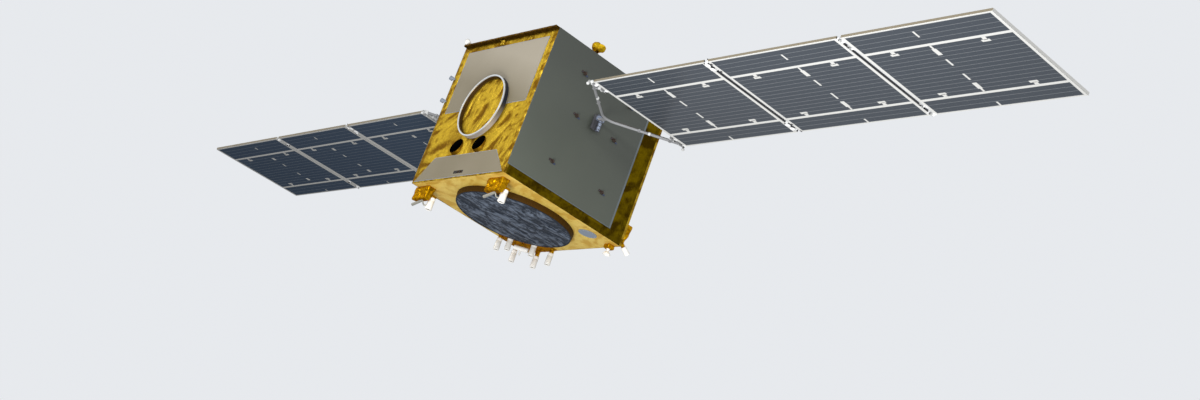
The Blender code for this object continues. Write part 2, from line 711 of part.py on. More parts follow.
def make_panels(side, word, fold):
    """The three panels: each one carries the lugs of the hinge lines at its two ends."""
    parent = fold
    half_thick = PANEL_THICKNESS / 2
    for number in range(1, PANEL_COUNT + 1):
        axis_x, axis_z = hinge_axis(side, number)
        pivot = joint("%s_panel_%d_fold" % (word, number), (axis_x, 0, axis_z), parent)
        root = side * (PANEL_HINGE_X + (number - 1) * PANEL_PITCH + PANEL_GAP / 2)
        end = root + side * PANEL_LENGTH
        panel = box("%s_panel_%d" % (word, number), (root, -PANEL_CHORD / 2, ARRAY_Z - half_thick),
                    (end, PANEL_CHORD / 2, ARRAY_Z + half_thick), CELLS)
        lugs = [far_lug(y, root, axis_x, axis_z) for y in HINGES]
        if number < PANEL_COUNT:
            next_x, next_z = hinge_axis(side, number + 1)
            lugs += [near_lug(y, end, next_x, next_z) for y in HINGES]
        combine(panel, lugs, "UNION")
        carry(pivot, panel)
        parent = pivot


def nozzle(name, top, axis, length, radius, body_radius, steps=20):
    """A thruster: a closed valve body that opens into a short bell."""
    place = Matrix.Translation(top) @ (-Vector(axis)).to_track_quat("Z", "Y").to_matrix().to_4x4()
    throat = -length * THROAT_SHARE
    turned(name, (
        (body_radius, 0.0),
        (body_radius, throat),
        (radius, -length),
        (radius - NOZZLE_WALL, -length),
        (THROAT_RADIUS, throat),
        (0.0, throat),
        (0.0, 0.0)), place, WHITE, steps=steps)


def make_front_thrusters(word, side, inset, lean):
    """One front corner: a wrapped bracket, the downward nozzle behind it and a side nozzle."""
    x = side * (HALF_WIDTH - inset)
    y = -HALF_DEPTH + FRONT_NOZZLE_INSET
    front = -HALF_DEPTH + BRACKET_FRONT_INSET
    middle = x + lean
    root_half = BRACKET_ROOT_WIDTH / 2
    half = BRACKET_WIDTH / 2

    def fill(shape):
        add_cube(shape, (middle - root_half + BRACKET_LEAN, front, UNDER_DECK),
                 (middle + root_half + BRACKET_LEAN, front + BRACKET_ROOT_DEPTH,
                  UNDER_DECK - BRACKET_ROOT_DROP))
        low_front = front + BRACKET_LEAN
        add_cube(shape, (middle - half - BRACKET_LEAN, low_front, UNDER_DECK - BRACKET_ROOT_DROP),
                 (middle + half - BRACKET_LEAN, low_front + BRACKET_DEPTH, UNDER_DECK - BRACKET_DROP))
    bracket = hull("thruster_bracket_front_" + word, GOLD, fill)
    rear = front + BRACKET_LEAN + BRACKET_DEPTH
    shelf_z = UNDER_DECK - FRONT_NOZZLE_DROP + SEAM
    shelf = box("shelf", (x - SHELF_WIDTH / 2, rear - BITE, shelf_z),
                (x + SHELF_WIDTH / 2, y + SHELF_REACH, shelf_z + SHELF_THICKNESS), GOLD)
    side_x = x - SIDE_THRUSTER_GAP - CLAMP_WIDTH / 2
    side_y = y - SIDE_THRUSTER_BACK
    side_z = DECK_Z - BRACKET_DROP - SIDE_THRUSTER_RADIUS - SIDE_THRUSTER_DROP - SEAM
    clamp = box("clamp", (side_x - CLAMP_WIDTH / 2, side_y - CLAMP_DEPTH / 2,
                          side_z + SIDE_THRUSTER_RADIUS + SEAM),
                (side_x + CLAMP_WIDTH / 2, side_y + CLAMP_DEPTH / 2,
                 UNDER_DECK - BRACKET_DROP + SIDE_THRUSTER_RADIUS), GOLD)
    combine(bracket, [shelf, clamp], "UNION")
    nozzle("thruster_front_" + word, (x, y, DECK_Z - FRONT_NOZZLE_DROP - SEAM), (0, 0, -1),
           FRONT_NOZZLE_LENGTH, FRONT_NOZZLE_RADIUS, FRONT_NOZZLE_BODY_RADIUS)
    near_x = x - SIDE_THRUSTER_GAP
    rod("side_thruster_front_" + word, (near_x, side_y, side_z),
        (near_x - SIDE_THRUSTER_LENGTH, side_y, side_z - SIDE_THRUSTER_SAG),
        SIDE_THRUSTER_RADIUS, SILVER, SIDE_THRUSTER_END_RADIUS)


def make_rear_left_thrusters():
    """The main thruster group: one plate around the ring, with a post for each nozzle."""
    low_angle, high_angle, beyond = GROUP_PLATE_NEAR
    steps = 5
    outline = [on_ring(low_angle + (high_angle - low_angle) * step / steps, beyond)
               for step in range(steps + 1)]
    outline += [on_ring(angle, out) for angle, out in GROUP_PLATE_FAR]
    thickness = GROUP_PLATE_THICKNESS - 2 * SEAM
    bracket = plate("thruster_bracket_rear_left", outline, thickness,
                    Matrix.Translation((0, 0, UNDER_DECK - thickness / 2)), GOLD)
    post_root = UNDER_DECK - thickness / 2
    posts = []
    for number, (angle, out, drop) in enumerate(GROUP_NOZZLES, 1):
        x, y = on_ring(angle, out)
        if drop > GROUP_PLATE_THICKNESS:
            posts.append(rod("post", (x, y, post_root), (x, y, DECK_Z - drop), GROUP_POST_RADIUS,
                             GOLD, segments=12))
        nozzle("thruster_rear_left_%d" % number, (x, y, DECK_Z - drop - SEAM), (0, 0, -1),
               GROUP_NOZZLE_LENGTH, GROUP_NOZZLE_RADIUS, GROUP_NOZZLE_BODY_RADIUS)
    angle, out, drop = LEVEL_THRUSTER_PLACE
    middle = Vector((*on_ring(angle, out), DECK_Z - drop))
    along = Vector((math.sin(math.radians(angle)), -math.cos(math.radians(angle)), 0))
    reach = along * LEVEL_THRUSTER_LENGTH / 2
    seat_z = middle.z + LEVEL_THRUSTER_RADIUS + SEAM
    posts.append(rod("post", (middle.x, middle.y, post_root), (middle.x, middle.y, seat_z),
                     LEVEL_POST_RADIUS, GOLD, segments=12))
    combine(bracket, posts, "UNION")
    level = rod("thruster_rear_left_7", middle - reach, middle + reach, LEVEL_THRUSTER_RADIUS, WHITE)
    stub = rod("stub", middle, middle - Vector((0, 0, LEVEL_THRUSTER_RADIUS + LEVEL_STUB_LENGTH)),
               LEVEL_STUB_RADIUS, WHITE, segments=12)
    combine(level, [stub], "UNION")


def make_rear_right_thrusters():
    """The rear right corner: a block behind the wall and a foot under the deck."""
    outer_x = HALF_WIDTH - BLOCK_INSETS[0]
    inner_x = HALF_WIDTH - BLOCK_INSETS[1]
    wall = HALF_DEPTH + SEAM
    low, ledge, high = (DECK_Z + height for height in BLOCK_HEIGHTS)

    def fill(shape):
        add_cube(shape, (inner_x, wall, low), (outer_x, wall + BLOCK_ROOT_DEPTH, high))
        add_cube(shape, (inner_x, wall, ledge), (outer_x, wall + BLOCK_DEPTH, high))
    bracket = hull("thruster_bracket_rear_right", GOLD, fill)
    root = Vector((HALF_WIDTH - SLANT_NOZZLE_INSET, HALF_DEPTH + SLANT_NOZZLE_REACH,
                   DECK_Z + SLANT_NOZZLE_HEIGHT))
    dip = math.radians(SLANT_NOZZLE_DIP)
    aim = Vector((0, math.cos(dip), -math.sin(dip)))
    boss = rod("boss", root - aim * SEAM, root - aim * SLANT_BOSS_LENGTH, SLANT_BOSS_RADIUS, GOLD,
               segments=12)
    combine(bracket, [boss], "UNION")
    nozzle("thruster_rear_right_2", root, aim, SLANT_NOZZLE_LENGTH, SLANT_NOZZLE_RADIUS,
           SLANT_NOZZLE_BODY_RADIUS)
    foot_x = [HALF_WIDTH - inset for inset in CORNER_FOOT_INSETS]
    foot_y = [HALF_DEPTH - inset for inset in CORNER_FOOT_REAR_INSETS]
    foot_z = UNDER_DECK - CORNER_FOOT_HEIGHT
    box("thruster_foot_rear_right", (foot_x[0], foot_y[0], UNDER_DECK), (foot_x[1], foot_y[1], foot_z), GOLD)
    nozzle("thruster_rear_right_1", (sum(foot_x) / 2, sum(foot_y) / 2, foot_z - SEAM), (0, 0, -1),
           CORNER_NOZZLE_LENGTH, CORNER_NOZZLE_RADIUS, CORNER_NOZZLE_BODY_RADIUS)


def make_small_pieces():
    """The lid under the deck, the wrapped knob on top and the sun sensors at the left edge."""
    x, y = on_ring(*LID_PLACE)
    rod("test_port_lid", (x, y, UNDER_DECK), (x, y, UNDER_DECK - LID_THICKNESS), LID_RADIUS, SILVER,
        segments=32)
    roof = TOP_Z + SEAM
    x = HALF_WIDTH - KNOB_INSET
    y = -HALF_DEPTH + KNOB_FROM_FRONT
    knob = rod("top_antenna", (x, y, roof), (x, y, roof + KNOB_STEM_HEIGHT), KNOB_STEM_RADIUS, GOLD,
               segments=12)
    shape = bmesh.new()
    bmesh.ops.create_icosphere(shape, subdivisions=1, radius=KNOB_RADIUS,
                               matrix=Matrix.Translation((x, y, roof + KNOB_HEIGHT)))
    combine(knob, [add("ball", mesh_from(shape, "ball"), GOLD)], "UNION")
    x = -HALF_WIDTH + MAST_INSET
    y = -HALF_DEPTH - MAST_REACH
    mast = rod("top_sun_sensor", (x, y, roof), (x, y, roof + MAST_HEIGHT), MAST_RADIUS, WHITE, segments=12)
    tilt = math.radians(SENSOR_TILT)
    aim = Vector((-math.sin(tilt), 0, math.cos(tilt)))
    seat = Vector((x, y, roof + MAST_HEIGHT)) - aim * SENSOR_SINK
    cap = rod("cap", seat, seat + aim * SENSOR_LENGTH, SENSOR_RADIUS, WHITE, SENSOR_TOP_RADIUS)
    combine(mast, [cap], "UNION")
    for word, height in EDGE_SENSORS:
        stand_x = -HALF_WIDTH + EDGE_STAND_INSET
        head_x = -HALF_WIDTH - EDGE_SENSOR_OVERHANG
        z = DECK_Z + height
        head_y = FRONT_Y - EDGE_SENSOR_STAND
        stand = rod(word + "_sun_sensor", (stand_x, FRONT_Y, z), (stand_x, head_y - BITE, z),
                    EDGE_STAND_RADIUS, WHITE, segments=12)
        head = rod("head", (head_x, head_y, z), (head_x, head_y - EDGE_SENSOR_LENGTH, z),
                   EDGE_SENSOR_RADIUS, WHITE)
        combine(stand, [head], "UNION")


make_body()
make_separation_ring()
make_front()
for side_word, side_sign in (("right", 1), ("left", -1)):
    make_side(side_sign, side_word)
    yoke_fold = make_yoke(side_sign, side_word, make_drive(side_sign, side_word))
    make_panels(side_sign, side_word, yoke_fold)
for corner in FRONT_CORNERS:
    make_front_thrusters(*corner)
make_rear_left_thrusters()
make_rear_right_thrusters()
make_small_pieces()
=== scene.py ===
"""The looks of a box-shaped satellite with two folding solar arrays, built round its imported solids."""
import math

import bmesh
import bpy
from mathutils import Matrix, Vector, noise

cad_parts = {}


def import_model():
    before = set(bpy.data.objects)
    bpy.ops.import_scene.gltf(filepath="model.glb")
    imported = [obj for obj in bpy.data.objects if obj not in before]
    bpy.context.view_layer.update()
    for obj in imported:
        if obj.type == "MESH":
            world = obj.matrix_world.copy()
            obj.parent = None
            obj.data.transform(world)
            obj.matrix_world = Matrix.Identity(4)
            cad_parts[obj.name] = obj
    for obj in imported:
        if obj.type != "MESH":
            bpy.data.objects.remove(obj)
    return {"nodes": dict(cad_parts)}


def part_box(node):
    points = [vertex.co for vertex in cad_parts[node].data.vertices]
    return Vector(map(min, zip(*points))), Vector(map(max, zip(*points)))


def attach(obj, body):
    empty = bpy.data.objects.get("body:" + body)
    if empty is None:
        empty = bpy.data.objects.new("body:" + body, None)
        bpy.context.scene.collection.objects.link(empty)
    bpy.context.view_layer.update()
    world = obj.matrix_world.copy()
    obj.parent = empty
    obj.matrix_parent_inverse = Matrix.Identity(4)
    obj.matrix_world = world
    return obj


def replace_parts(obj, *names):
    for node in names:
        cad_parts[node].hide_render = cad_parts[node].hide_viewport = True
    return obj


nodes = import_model()["nodes"]
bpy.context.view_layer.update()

# Gold blankets on the decks and walls
# Many layers of metallised film, hemmed round their edges and taped to the box. Between the hems
# they lie loose, so the film crinkles into long creases with small facets between them.
WEAVE = 0.010
HEM = 0.030
LOFT = 0.0048
OVERLAP = 0.0006


def tone(red, green, blue):
    """A colour as the eye reads it, 0 to 255, in the values that a shader takes."""
    return tuple(((part / 255 + 0.055) / 1.055) ** 2.4 for part in (red, green, blue))


def paint(name, colour, roughness, metallic=0.0):
    """A plain finish: its material, whose shader can be refined."""
    finish = bpy.data.materials.new(name)
    finish.use_nodes = True
    shader = finish.node_tree.nodes["Principled BSDF"]
    shader.inputs["Base Color"].default_value = (*tone(*colour), 1.0)
    shader.inputs["Roughness"].default_value = roughness
    shader.inputs["Metallic"].default_value = metallic
    return finish


def crinkle_group():
    """Crinkled film: a colour with painted shade in its creases and along the edges of its small facets, and the
    facets' height.
    """
    group = bpy.data.node_groups.new("crinkled_film", "ShaderNodeTree")
    face = group.interface
    face.new_socket(name="Film", in_out="INPUT", socket_type="NodeSocketColor")
    face.new_socket(name="Crease_shade", in_out="INPUT", socket_type="NodeSocketColor")
    face.new_socket(name="Facets", in_out="INPUT", socket_type="NodeSocketFloat")
    face.new_socket(name="Colour", in_out="OUTPUT", socket_type="NodeSocketColor")
    face.new_socket(name="Roughness", in_out="OUTPUT", socket_type="NodeSocketFloat")
    face.new_socket(name="Height", in_out="OUTPUT", socket_type="NodeSocketFloat")
    make, link = group.nodes.new, group.links.new
    given = make("NodeGroupInput")
    taken = make("NodeGroupOutput")
    place = make("ShaderNodeTexCoord")
    warp = make("ShaderNodeTexNoise")
    warp.inputs["Scale"].default_value = 14.0
    warp.inputs["Detail"].default_value = 2.0
    bend = make("ShaderNodeMixRGB")
    bend.blend_type = "LINEAR_LIGHT"
    bend.inputs["Fac"].default_value = 0.05
    facets = make("ShaderNodeTexVoronoi")
    facets.feature = "DISTANCE_TO_EDGE"
    grain = make("ShaderNodeTexNoise")
    grain.inputs["Scale"].default_value = 60.0
    grain.inputs["Detail"].default_value = 3.0
    fold = make("ShaderNodeAttribute")
    fold.attribute_name = "fold"
    shade = make("ShaderNodeMapRange")
    shade.inputs["From Max"].default_value = 0.22
    shade.inputs["To Min"].default_value = -0.18
    shade.inputs["To Max"].default_value = 0.06
    mask = make("ShaderNodeMath")
    mask.operation = "ADD"
    mask.use_clamp = True
    mix = make("ShaderNodeMixRGB")
    rough = make("ShaderNodeMapRange")
    rough.inputs["To Min"].default_value = 0.52
    rough.inputs["To Max"].default_value = 0.38
    height = make("ShaderNodeMath")
    height.operation = "ADD"
    link(place.outputs["Object"], warp.inputs["Vector"])
    link(place.outputs["Object"], bend.inputs["Color1"])
    link(warp.outputs["Color"], bend.inputs["Color2"])
    link(bend.outputs["Color"], facets.inputs["Vector"])
    link(given.outputs["Facets"], facets.inputs["Scale"])
    link(place.outputs["Object"], grain.inputs["Vector"])
    link(facets.outputs["Distance"], shade.inputs["Value"])
    link(fold.outputs["Fac"], mask.inputs[0])
    link(shade.outputs["Result"], mask.inputs[1])
    link(mask.outputs["Value"], mix.inputs["Fac"])
    link(given.outputs["Crease_shade"], mix.inputs["Color1"])
    link(given.outputs["Film"], mix.inputs["Color2"])
    link(mix.outputs["Color"], taken.inputs["Colour"])
    link(mask.outputs["Value"], rough.inputs["Value"])
    link(rough.outputs["Result"], taken.inputs["Roughness"])
    link(facets.outputs["Distance"], height.inputs[0])
    link(grain.outputs["Fac"], height.inputs[1])
    link(height.outputs["Value"], taken.inputs["Height"])
    return group


CRINKLE = crinkle_group()


def film(name, colour, crease_shade, facets=24.0, metallic=0.8, relief=0.5):
    """A film of one colour, with a darker colour painted into its creases as shade."""
    finish = paint(name, colour, 0.4, metallic)
    tree = finish.node_tree
    shader = tree.nodes["Principled BSDF"]
    shader.inputs["Specular Tint"].default_value = (*tone(*colour), 1.0)
    crinkle = tree.nodes.new("ShaderNodeGroup")
    crinkle.node_tree = CRINKLE
    crinkle.inputs["Film"].default_value = (*tone(*colour), 1.0)
    crinkle.inputs["Crease_shade"].default_value = (*tone(*crease_shade), 1.0)
    crinkle.inputs["Facets"].default_value = facets
    bump = tree.nodes.new("ShaderNodeBump")
    bump.inputs["Strength"].default_value = relief
    bump.inputs["Distance"].default_value = 0.006
    tree.links.new(crinkle.outputs["Colour"], shader.inputs["Base Color"])
    tree.links.new(crinkle.outputs["Roughness"], shader.inputs["Roughness"])
    tree.links.new(crinkle.outputs["Height"], bump.inputs["Height"])
    tree.links.new(bump.outputs["Normal"], shader.inputs["Normal"])
    return finish


# The front film is the gold's own colour. The side film is a darker copy as painted shade on the side walls, the deck
# film a paler copy as painted light on the bottom deck, and the fascia film a darker copy as painted shade under the
# top deck's overhang. Each film's second colour is the painted shade in its creases.
FRONT_FILM = film("front_gold_film", (198, 166, 54), (108, 76, 8), relief=0.3)
SHADED_SIDE_FILM = film("side_gold_film_painted_shade", (110, 90, 4), (64, 48, 0), metallic=0.95, relief=0.3)
LIT_DECK_FILM = film("deck_gold_film_painted_light", (238, 208, 106), (208, 166, 66), metallic=0.2, relief=0.3)
SHADED_FASCIA_FILM = film("fascia_gold_film_painted_shade", (106, 80, 22), (54, 34, 6))


def film_fold(across, up, lie, seed):
    """How high loose film stands at a place, and how open it lies there: 0 along creases, which the material darkens as
    painted shade.
    """
    drift = noise.noise_vector(Vector((across * 3.0, up * 3.0, seed))) * 0.12
    across += drift.x
    up += drift.y
    along = across * math.cos(lie) + up * math.sin(lie)
    over = up * math.cos(lie) - across * math.sin(lie)
    long_fold = 0.5 + noise.noise(Vector((along * 4.6, over * 12.0, seed)))
    short_fold = 0.5 + noise.noise(Vector((along * 13.0, over * 22.0, seed + 9.0)))
    swell = 0.5 + noise.noise(Vector((across * 5.0, up * 5.0, seed + 5.0)))
    rise = 0.50 * long_fold + 0.22 * short_fold + 0.28 * swell
    dark = 2.0 * min(0.0, long_fold - 0.44) + 1.2 * min(0.0, short_fold - 0.46)
    open_fold = 0.88 + dark + 0.5 * (swell - 0.5)
    return rise, max(0.0, min(1.0, open_fold))


def finished(name, shape, finish, body, crisp=35.0):
    """Makes a shape a piece that rides on a body, with the finish that it is given."""
    mesh = bpy.data.meshes.new(name)
    shape.to_mesh(mesh)
    shape.free()
    mesh.materials.append(finish)
    mesh.shade_smooth()
    mesh.set_sharp_from_angle(angle=math.radians(crisp))
    piece = bpy.data.objects.new(name, mesh)
    bpy.context.scene.collection.objects.link(piece)
    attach(piece, body)
    return piece


def blanket(name, node, finish, outward, low, high, lie, held=(), hem_shade=0.0):
    """Loose film over one side of the box, as deep as the wall or deck that it stands for."""
    low, high, outward = Vector(low), Vector(high), Vector(outward)
    up = Vector((0, 1, 0)) if outward.z else Vector((0, 0, 1))
    right = up.cross(outward)
    width, height, depth = (abs((high - low).dot(axis)) for axis in (right, up, outward))
    place = Matrix((right, up, outward)).transposed().to_4x4()
    place.translation = (low + high) / 2 + outward * depth / 2
    shape = bmesh.new()
    bmesh.ops.create_grid(shape, x_segments=round(width / WEAVE), y_segments=round(height / WEAVE),
                          size=0.5)
    bmesh.ops.scale(shape, vec=(width, height, 1), verts=shape.verts)
    fold = shape.verts.layers.float.new("fold")
    seed = 3.0 + 11.0 * outward.x + 23.0 * outward.y + 37.0 * outward.z
    for corner in shape.verts:
        rise, crease_shade = film_fold(corner.co.x, corner.co.y, math.radians(lie), seed)
        edge = min(width / 2 - abs(corner.co.x), height / 2 - abs(corner.co.y))
        slack = edge
        spot = place @ corner.co
        for centre, radius in held:
            slack = min(slack, (spot - Vector(centre)).length - radius)
        slack = max(0.0, min(1.0, slack / HEM))
        # Near the hems, noise deepens the creases' painted shade; the film's shape stays as it is.
        if edge < 2 * HEM:
            pucker_shade = 0.5 + noise.noise(spot * 26.0)
            crease_shade *= 1.0 - hem_shade * (1.0 - pucker_shade)
        corner[fold] = crease_shade
        corner.co.z = LOFT * rise * math.sqrt(slack)
    border = [edge for edge in shape.edges if edge.is_boundary]
    turned = bmesh.ops.extrude_edge_only(shape, edges=border)["geom"]
    lower = [part for part in turned if isinstance(part, bmesh.types.BMVert)]
    bmesh.ops.translate(shape, vec=(0, 0, -depth), verts=lower)
    bmesh.ops.edgeloop_fill(shape, edges=[edge for edge in shape.edges if edge.is_boundary])
    bmesh.ops.transform(shape, matrix=place, verts=shape.verts)
    bmesh.ops.recalc_face_normals(shape, faces=shape.faces)
    piece = finished(name, shape, finish, "bus")
    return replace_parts(piece, node)


body_low, body_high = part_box("bottom_deck")[0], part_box("top_deck")[1]
half_width = body_high.x
half_depth = body_high.y
deck_z = body_low.z
top_z = body_high.z
wall_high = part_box("front_wall")[1].z
wall_inner = half_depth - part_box("rear_wall")[0].y
lid_low, lid_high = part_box("test_port_lid")
lid = (lid_low + lid_high) / 2
ring_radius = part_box("separation_ring")[1].x
skin = half_width + OVERLAP
shell = half_depth + OVERLAP
front = blanket("front_blanket", "front_wall", FRONT_FILM, (0, -1, 0),
                (-skin, -shell, deck_z - OVERLAP), (skin, -half_depth + wall_inner, wall_high), 32,
                hem_shade=0.8)
blanket("rear_blanket", "rear_wall", FRONT_FILM, (0, 1, 0),
        (-skin, half_depth - wall_inner, deck_z - OVERLAP), (skin, shell, top_z - 0.001), -28,
        hem_shade=0.5)
for word, side in (("right", 1), ("left", -1)):
    blanket(word + "_blanket", word + "_wall", SHADED_SIDE_FILM, (side, 0, 0),
            (side * (half_width - wall_inner), -half_depth + wall_inner, deck_z - OVERLAP),
            (side * skin, half_depth - wall_inner, top_z - 0.001), 62 * side, hem_shade=0.5)
blanket("bottom_blanket", "bottom_deck", LIT_DECK_FILM, (0, 0, -1),
        (-half_width, -half_depth, deck_z - 0.0002), (half_width, half_depth, deck_z + 0.028), 24,
        held=((lid, 0.100), ((0, 0, deck_z), ring_radius)), hem_shade=0.3)
blanket("top_blanket", "top_deck", FRONT_FILM, (0, 0, 1),
        (-half_width, -half_depth, wall_high + 0.002), (half_width, half_depth, top_z), -35)

# Hem of the top deck
# The top blanket turns down over the deck's front edge and is drawn tight under its overhang,
# where a small tie holds it to the front face.
brim_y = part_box("top_deck")[0].y
brim_left = -half_width + 0.018


def block(shape, low, high, rounding=0.0, segments=2):
    """Adds a block between two corners to a shape, with its edges rounded."""
    low, high = Vector(low), Vector(high)
    size = [abs(part) for part in high - low]
    place = Matrix.Translation((low + high) / 2) @ Matrix.Diagonal((*size, 1.0))
    corners = bmesh.ops.create_cube(shape, size=1.0, matrix=place)["verts"]
    if rounding:
        edges = {edge for corner in corners for edge in corner.link_edges}
        bmesh.ops.bevel(shape, geom=list(edges), offset=rounding, segments=segments, profile=0.5,
                        affect="EDGES", material=-1, clamp_overlap=True)


def crumple(shape, loft, fineness, seed):
    """Works creases into film that is drawn over a small shape, and marks how deep they are, so that the material
    darkens them as painted shade.
    """
    fold = shape.verts.layers.float.get("fold") or shape.verts.layers.float.new("fold")
    shape.normal_update()
    for corner in shape.verts:
        spot = corner.co * fineness + Vector((seed, 0, 0))
        sharp = min(1.0, 3.0 * abs(noise.noise(spot)))
        fine = min(1.0, 2.4 * abs(noise.noise(spot * 2.3)))
        corner[fold] = min(1.0, 0.15 + 0.55 * sharp + 0.45 * fine)
        corner.co += corner.normal * loft * (0.7 * sharp + 0.4 * fine - 0.5)


shape = bmesh.new()
block(shape, (brim_left, brim_y - 0.0015, wall_high), (half_width + 0.001, brim_y + 0.006, top_z + 0.001))
block(shape, (brim_left, brim_y, wall_high - 0.001), (half_width + 0.001, -half_depth, wall_high + 0.003))
block(shape, (brim_left, brim_y, top_z - 0.003), (half_width + 0.001, -half_depth, top_z + 0.001))
for cut in range(-29, 30):
    geometry = shape.verts[:] + shape.edges[:] + shape.faces[:]
    bmesh.ops.bisect_plane(shape, geom=geometry, plane_co=(cut * 0.025, 0, 0), plane_no=(1, 0, 0))
crumple(shape, 0.0018, 21.0, 4.0)
# The hem takes the fascia film, whose darker gold is painted shade under the overhang.
finished("top_deck_hem", shape, SHADED_FASCIA_FILM, "bus")
shape = bmesh.new()
block(shape, (-0.132, -half_depth - 0.022, wall_high - 0.058), (-0.070, -half_depth, wall_high - 0.008), 0.006)
bmesh.ops.subdivide_edges(shape, edges=shape.edges, cuts=2, use_grid_fill=True)
crumple(shape, 0.005, 44.0, 2.0)
finished("top_deck_tie", shape, FRONT_FILM, "bus")

# Star tracker baffles
# Two black cups sunk into the front wall look out a little upwards, so the lower half of each
# hood stands clear of the blanket. Knife-edged vanes keep stray light off the lens at the bottom.
BAFFLE_BLACK = paint("baffle_black", (3, 3, 4), 0.9)
BAFFLE_BLACK.node_tree.nodes["Principled BSDF"].inputs["Specular IOR Level"].default_value = 0.0
LENS_GLASS = paint("lens_glass", (14, 20, 38), 0.06)
LOOK_UP = 12.0


def round_part(shape, profile, place, steps=48):
    """Adds a closed profile of (radius, height), turned about Z and put in its place."""
    before = set(shape.verts)
    points = [shape.verts.new((radius, 0, height)) for radius, height in profile]
    edges = [shape.edges.new(pair) for pair in zip(points, points[1:] + points[:1])]
    bmesh.ops.spin(shape, geom=points + edges, cent=(0, 0, 0), axis=(0, 0, 1),
                   angle=math.radians(360), steps=steps, use_merge=True)
    fresh = [corner for corner in shape.verts if corner not in before]
    bmesh.ops.transform(shape, matrix=place, verts=fresh)
    bmesh.ops.remove_doubles(shape, verts=fresh, dist=0.00002)
    bmesh.ops.recalc_face_normals(shape, faces=shape.faces)


def settled(piece):
    """Keeps what a piece's modifiers make as its own mesh."""
    bpy.context.view_layer.update()
    evaluated = piece.evaluated_get(bpy.context.evaluated_depsgraph_get())
    mesh = bpy.data.meshes.new_from_object(evaluated)
    piece.modifiers.clear()
    piece.data = mesh
    return piece


FACING_FRONT = Matrix.Rotation(math.radians(90), 4, "X")
for word in ("left", "right"):
    low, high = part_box("star_tracker_" + word)
    middle = (low + high) / 2
    radius = 1.05 * (high.x - low.x) / 2
    proud = radius * math.sin(math.radians(LOOK_UP)) + 0.002
    mouth = (Matrix.Translation((middle.x, -half_depth - proud, middle.z))
             @ Matrix.Rotation(math.radians(90 - LOOK_UP), 4, "X"))
    shape = bmesh.new()
    round_part(shape, ((0.0, 0.03), (radius, 0.03), (radius, -0.05), (0.0, -0.05)), mouth)
    cutter = finished("tracker_cutter", shape, BAFFLE_BLACK, "bus")
    hole = front.modifiers.new("tracker_hole", "BOOLEAN")
    hole.solver = "EXACT"
    hole.object = cutter
    settled(front)
    bpy.data.objects.remove(cutter, do_unlink=True)
    shape = bmesh.new()
    outer, inner, depth = radius - 0.0005, radius - 0.004, high.y - low.y
    profile = [(outer, 0.0), (outer, -depth), (0.0, -depth), (0.0, -depth + 0.004),
               (inner, -depth + 0.004)]
    for vane in range(3):
        level = -0.110 + 0.035 * vane
        profile += [(inner, level), (inner - 0.012, level + 0.006), (inner, level + 0.002)]
    profile += [(inner, 0.0)]
    round_part(shape, profile, mouth)
    cup = finished("star_tracker_cup_" + word, shape, BAFFLE_BLACK, "bus")
    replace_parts(cup, "star_tracker_" + word)
    shape = bmesh.new()
    round_part(shape, ((0.0, -depth + 0.020), (0.030, -depth + 0.014), (0.034, -depth + 0.004),
                       (0.0, -depth + 0.004)), mouth)
    finished("star_tracker_lens_" + word, shape, LENS_GLASS, "bus")
    shape = bmesh.new()
    round_part(shape, ((outer + 0.0005, -0.003), (outer + 0.003, -0.004), (outer + 0.006, -0.020),
                       (outer + 0.012, -0.045), (outer + 0.0005, -0.045)), mouth)
    finished("star_tracker_collar_" + word, shape, FRONT_FILM, "bus")

# Front radiators
# Two plates of grey-painted aluminium that shed the payload's heat. Each is taped down along its
# edge, and the lower one has a slot through which a test plug is reached.
EDGE_TAPE = paint("edge_tape", (142, 148, 158), 0.4, 0.2)
SLOT_DARK = paint("slot_dark", (22, 14, 6), 0.7)


def height_graded(name, low_colour, high_colour, low_level, high_level, roughness):
    """A paint that shifts from one colour low down to another towards the top, with a soft mottle."""
    finish = paint(name, high_colour, roughness)
    tree = finish.node_tree
    make, link = tree.nodes.new, tree.links.new
    place = make("ShaderNodeTexCoord")
    parts = make("ShaderNodeSeparateXYZ")
    lean = make("ShaderNodeMath")
    lean.operation = "MULTIPLY_ADD"
    lean.inputs[1].default_value = 0.30
    share = make("ShaderNodeMapRange")
    share.inputs["From Min"].default_value = low_level
    share.inputs["From Max"].default_value = high_level
    mottle = make("ShaderNodeTexNoise")
    mottle.inputs["Scale"].default_value = 2.2
    drift = make("ShaderNodeMath")
    drift.operation = "MULTIPLY_ADD"
    drift.inputs[1].default_value = 0.35
    drift.use_clamp = True
    mix = make("ShaderNodeMixRGB")
    mix.inputs["Color1"].default_value = (*tone(*low_colour), 1.0)
    mix.inputs["Color2"].default_value = (*tone(*high_colour), 1.0)
    link(place.outputs["Object"], parts.inputs["Vector"])
    link(place.outputs["Object"], mottle.inputs["Vector"])
    link(parts.outputs["X"], lean.inputs[0])
    link(parts.outputs["Z"], lean.inputs[2])
    link(lean.outputs["Value"], share.inputs["Value"])
    link(mottle.outputs["Fac"], drift.inputs[0])
    link(share.outputs["Result"], drift.inputs[2])
    link(drift.outputs["Value"], mix.inputs["Fac"])
    link(mix.outputs["Color"], tree.nodes["Principled BSDF"].inputs["Base Color"])
    return finish


RADIATOR_GREY = height_graded("radiator_warm_grey", (112, 102, 76), (160, 151, 133), 1.0, 1.5, 0.55)


def dress(node, finish):
    """Gives a solid of the frame a finish, through its object's material slot."""
    slot = nodes[node].material_slots[0]
    slot.link = "OBJECT"
    slot.material = finish


def merged_copy(node):
    """A bmesh copy of a solid of the frame, with its loose triangles joined."""
    shape = bmesh.new()
    shape.from_mesh(nodes[node].data)
    bmesh.ops.remove_doubles(shape, verts=shape.verts, dist=0.00001)
    return shape


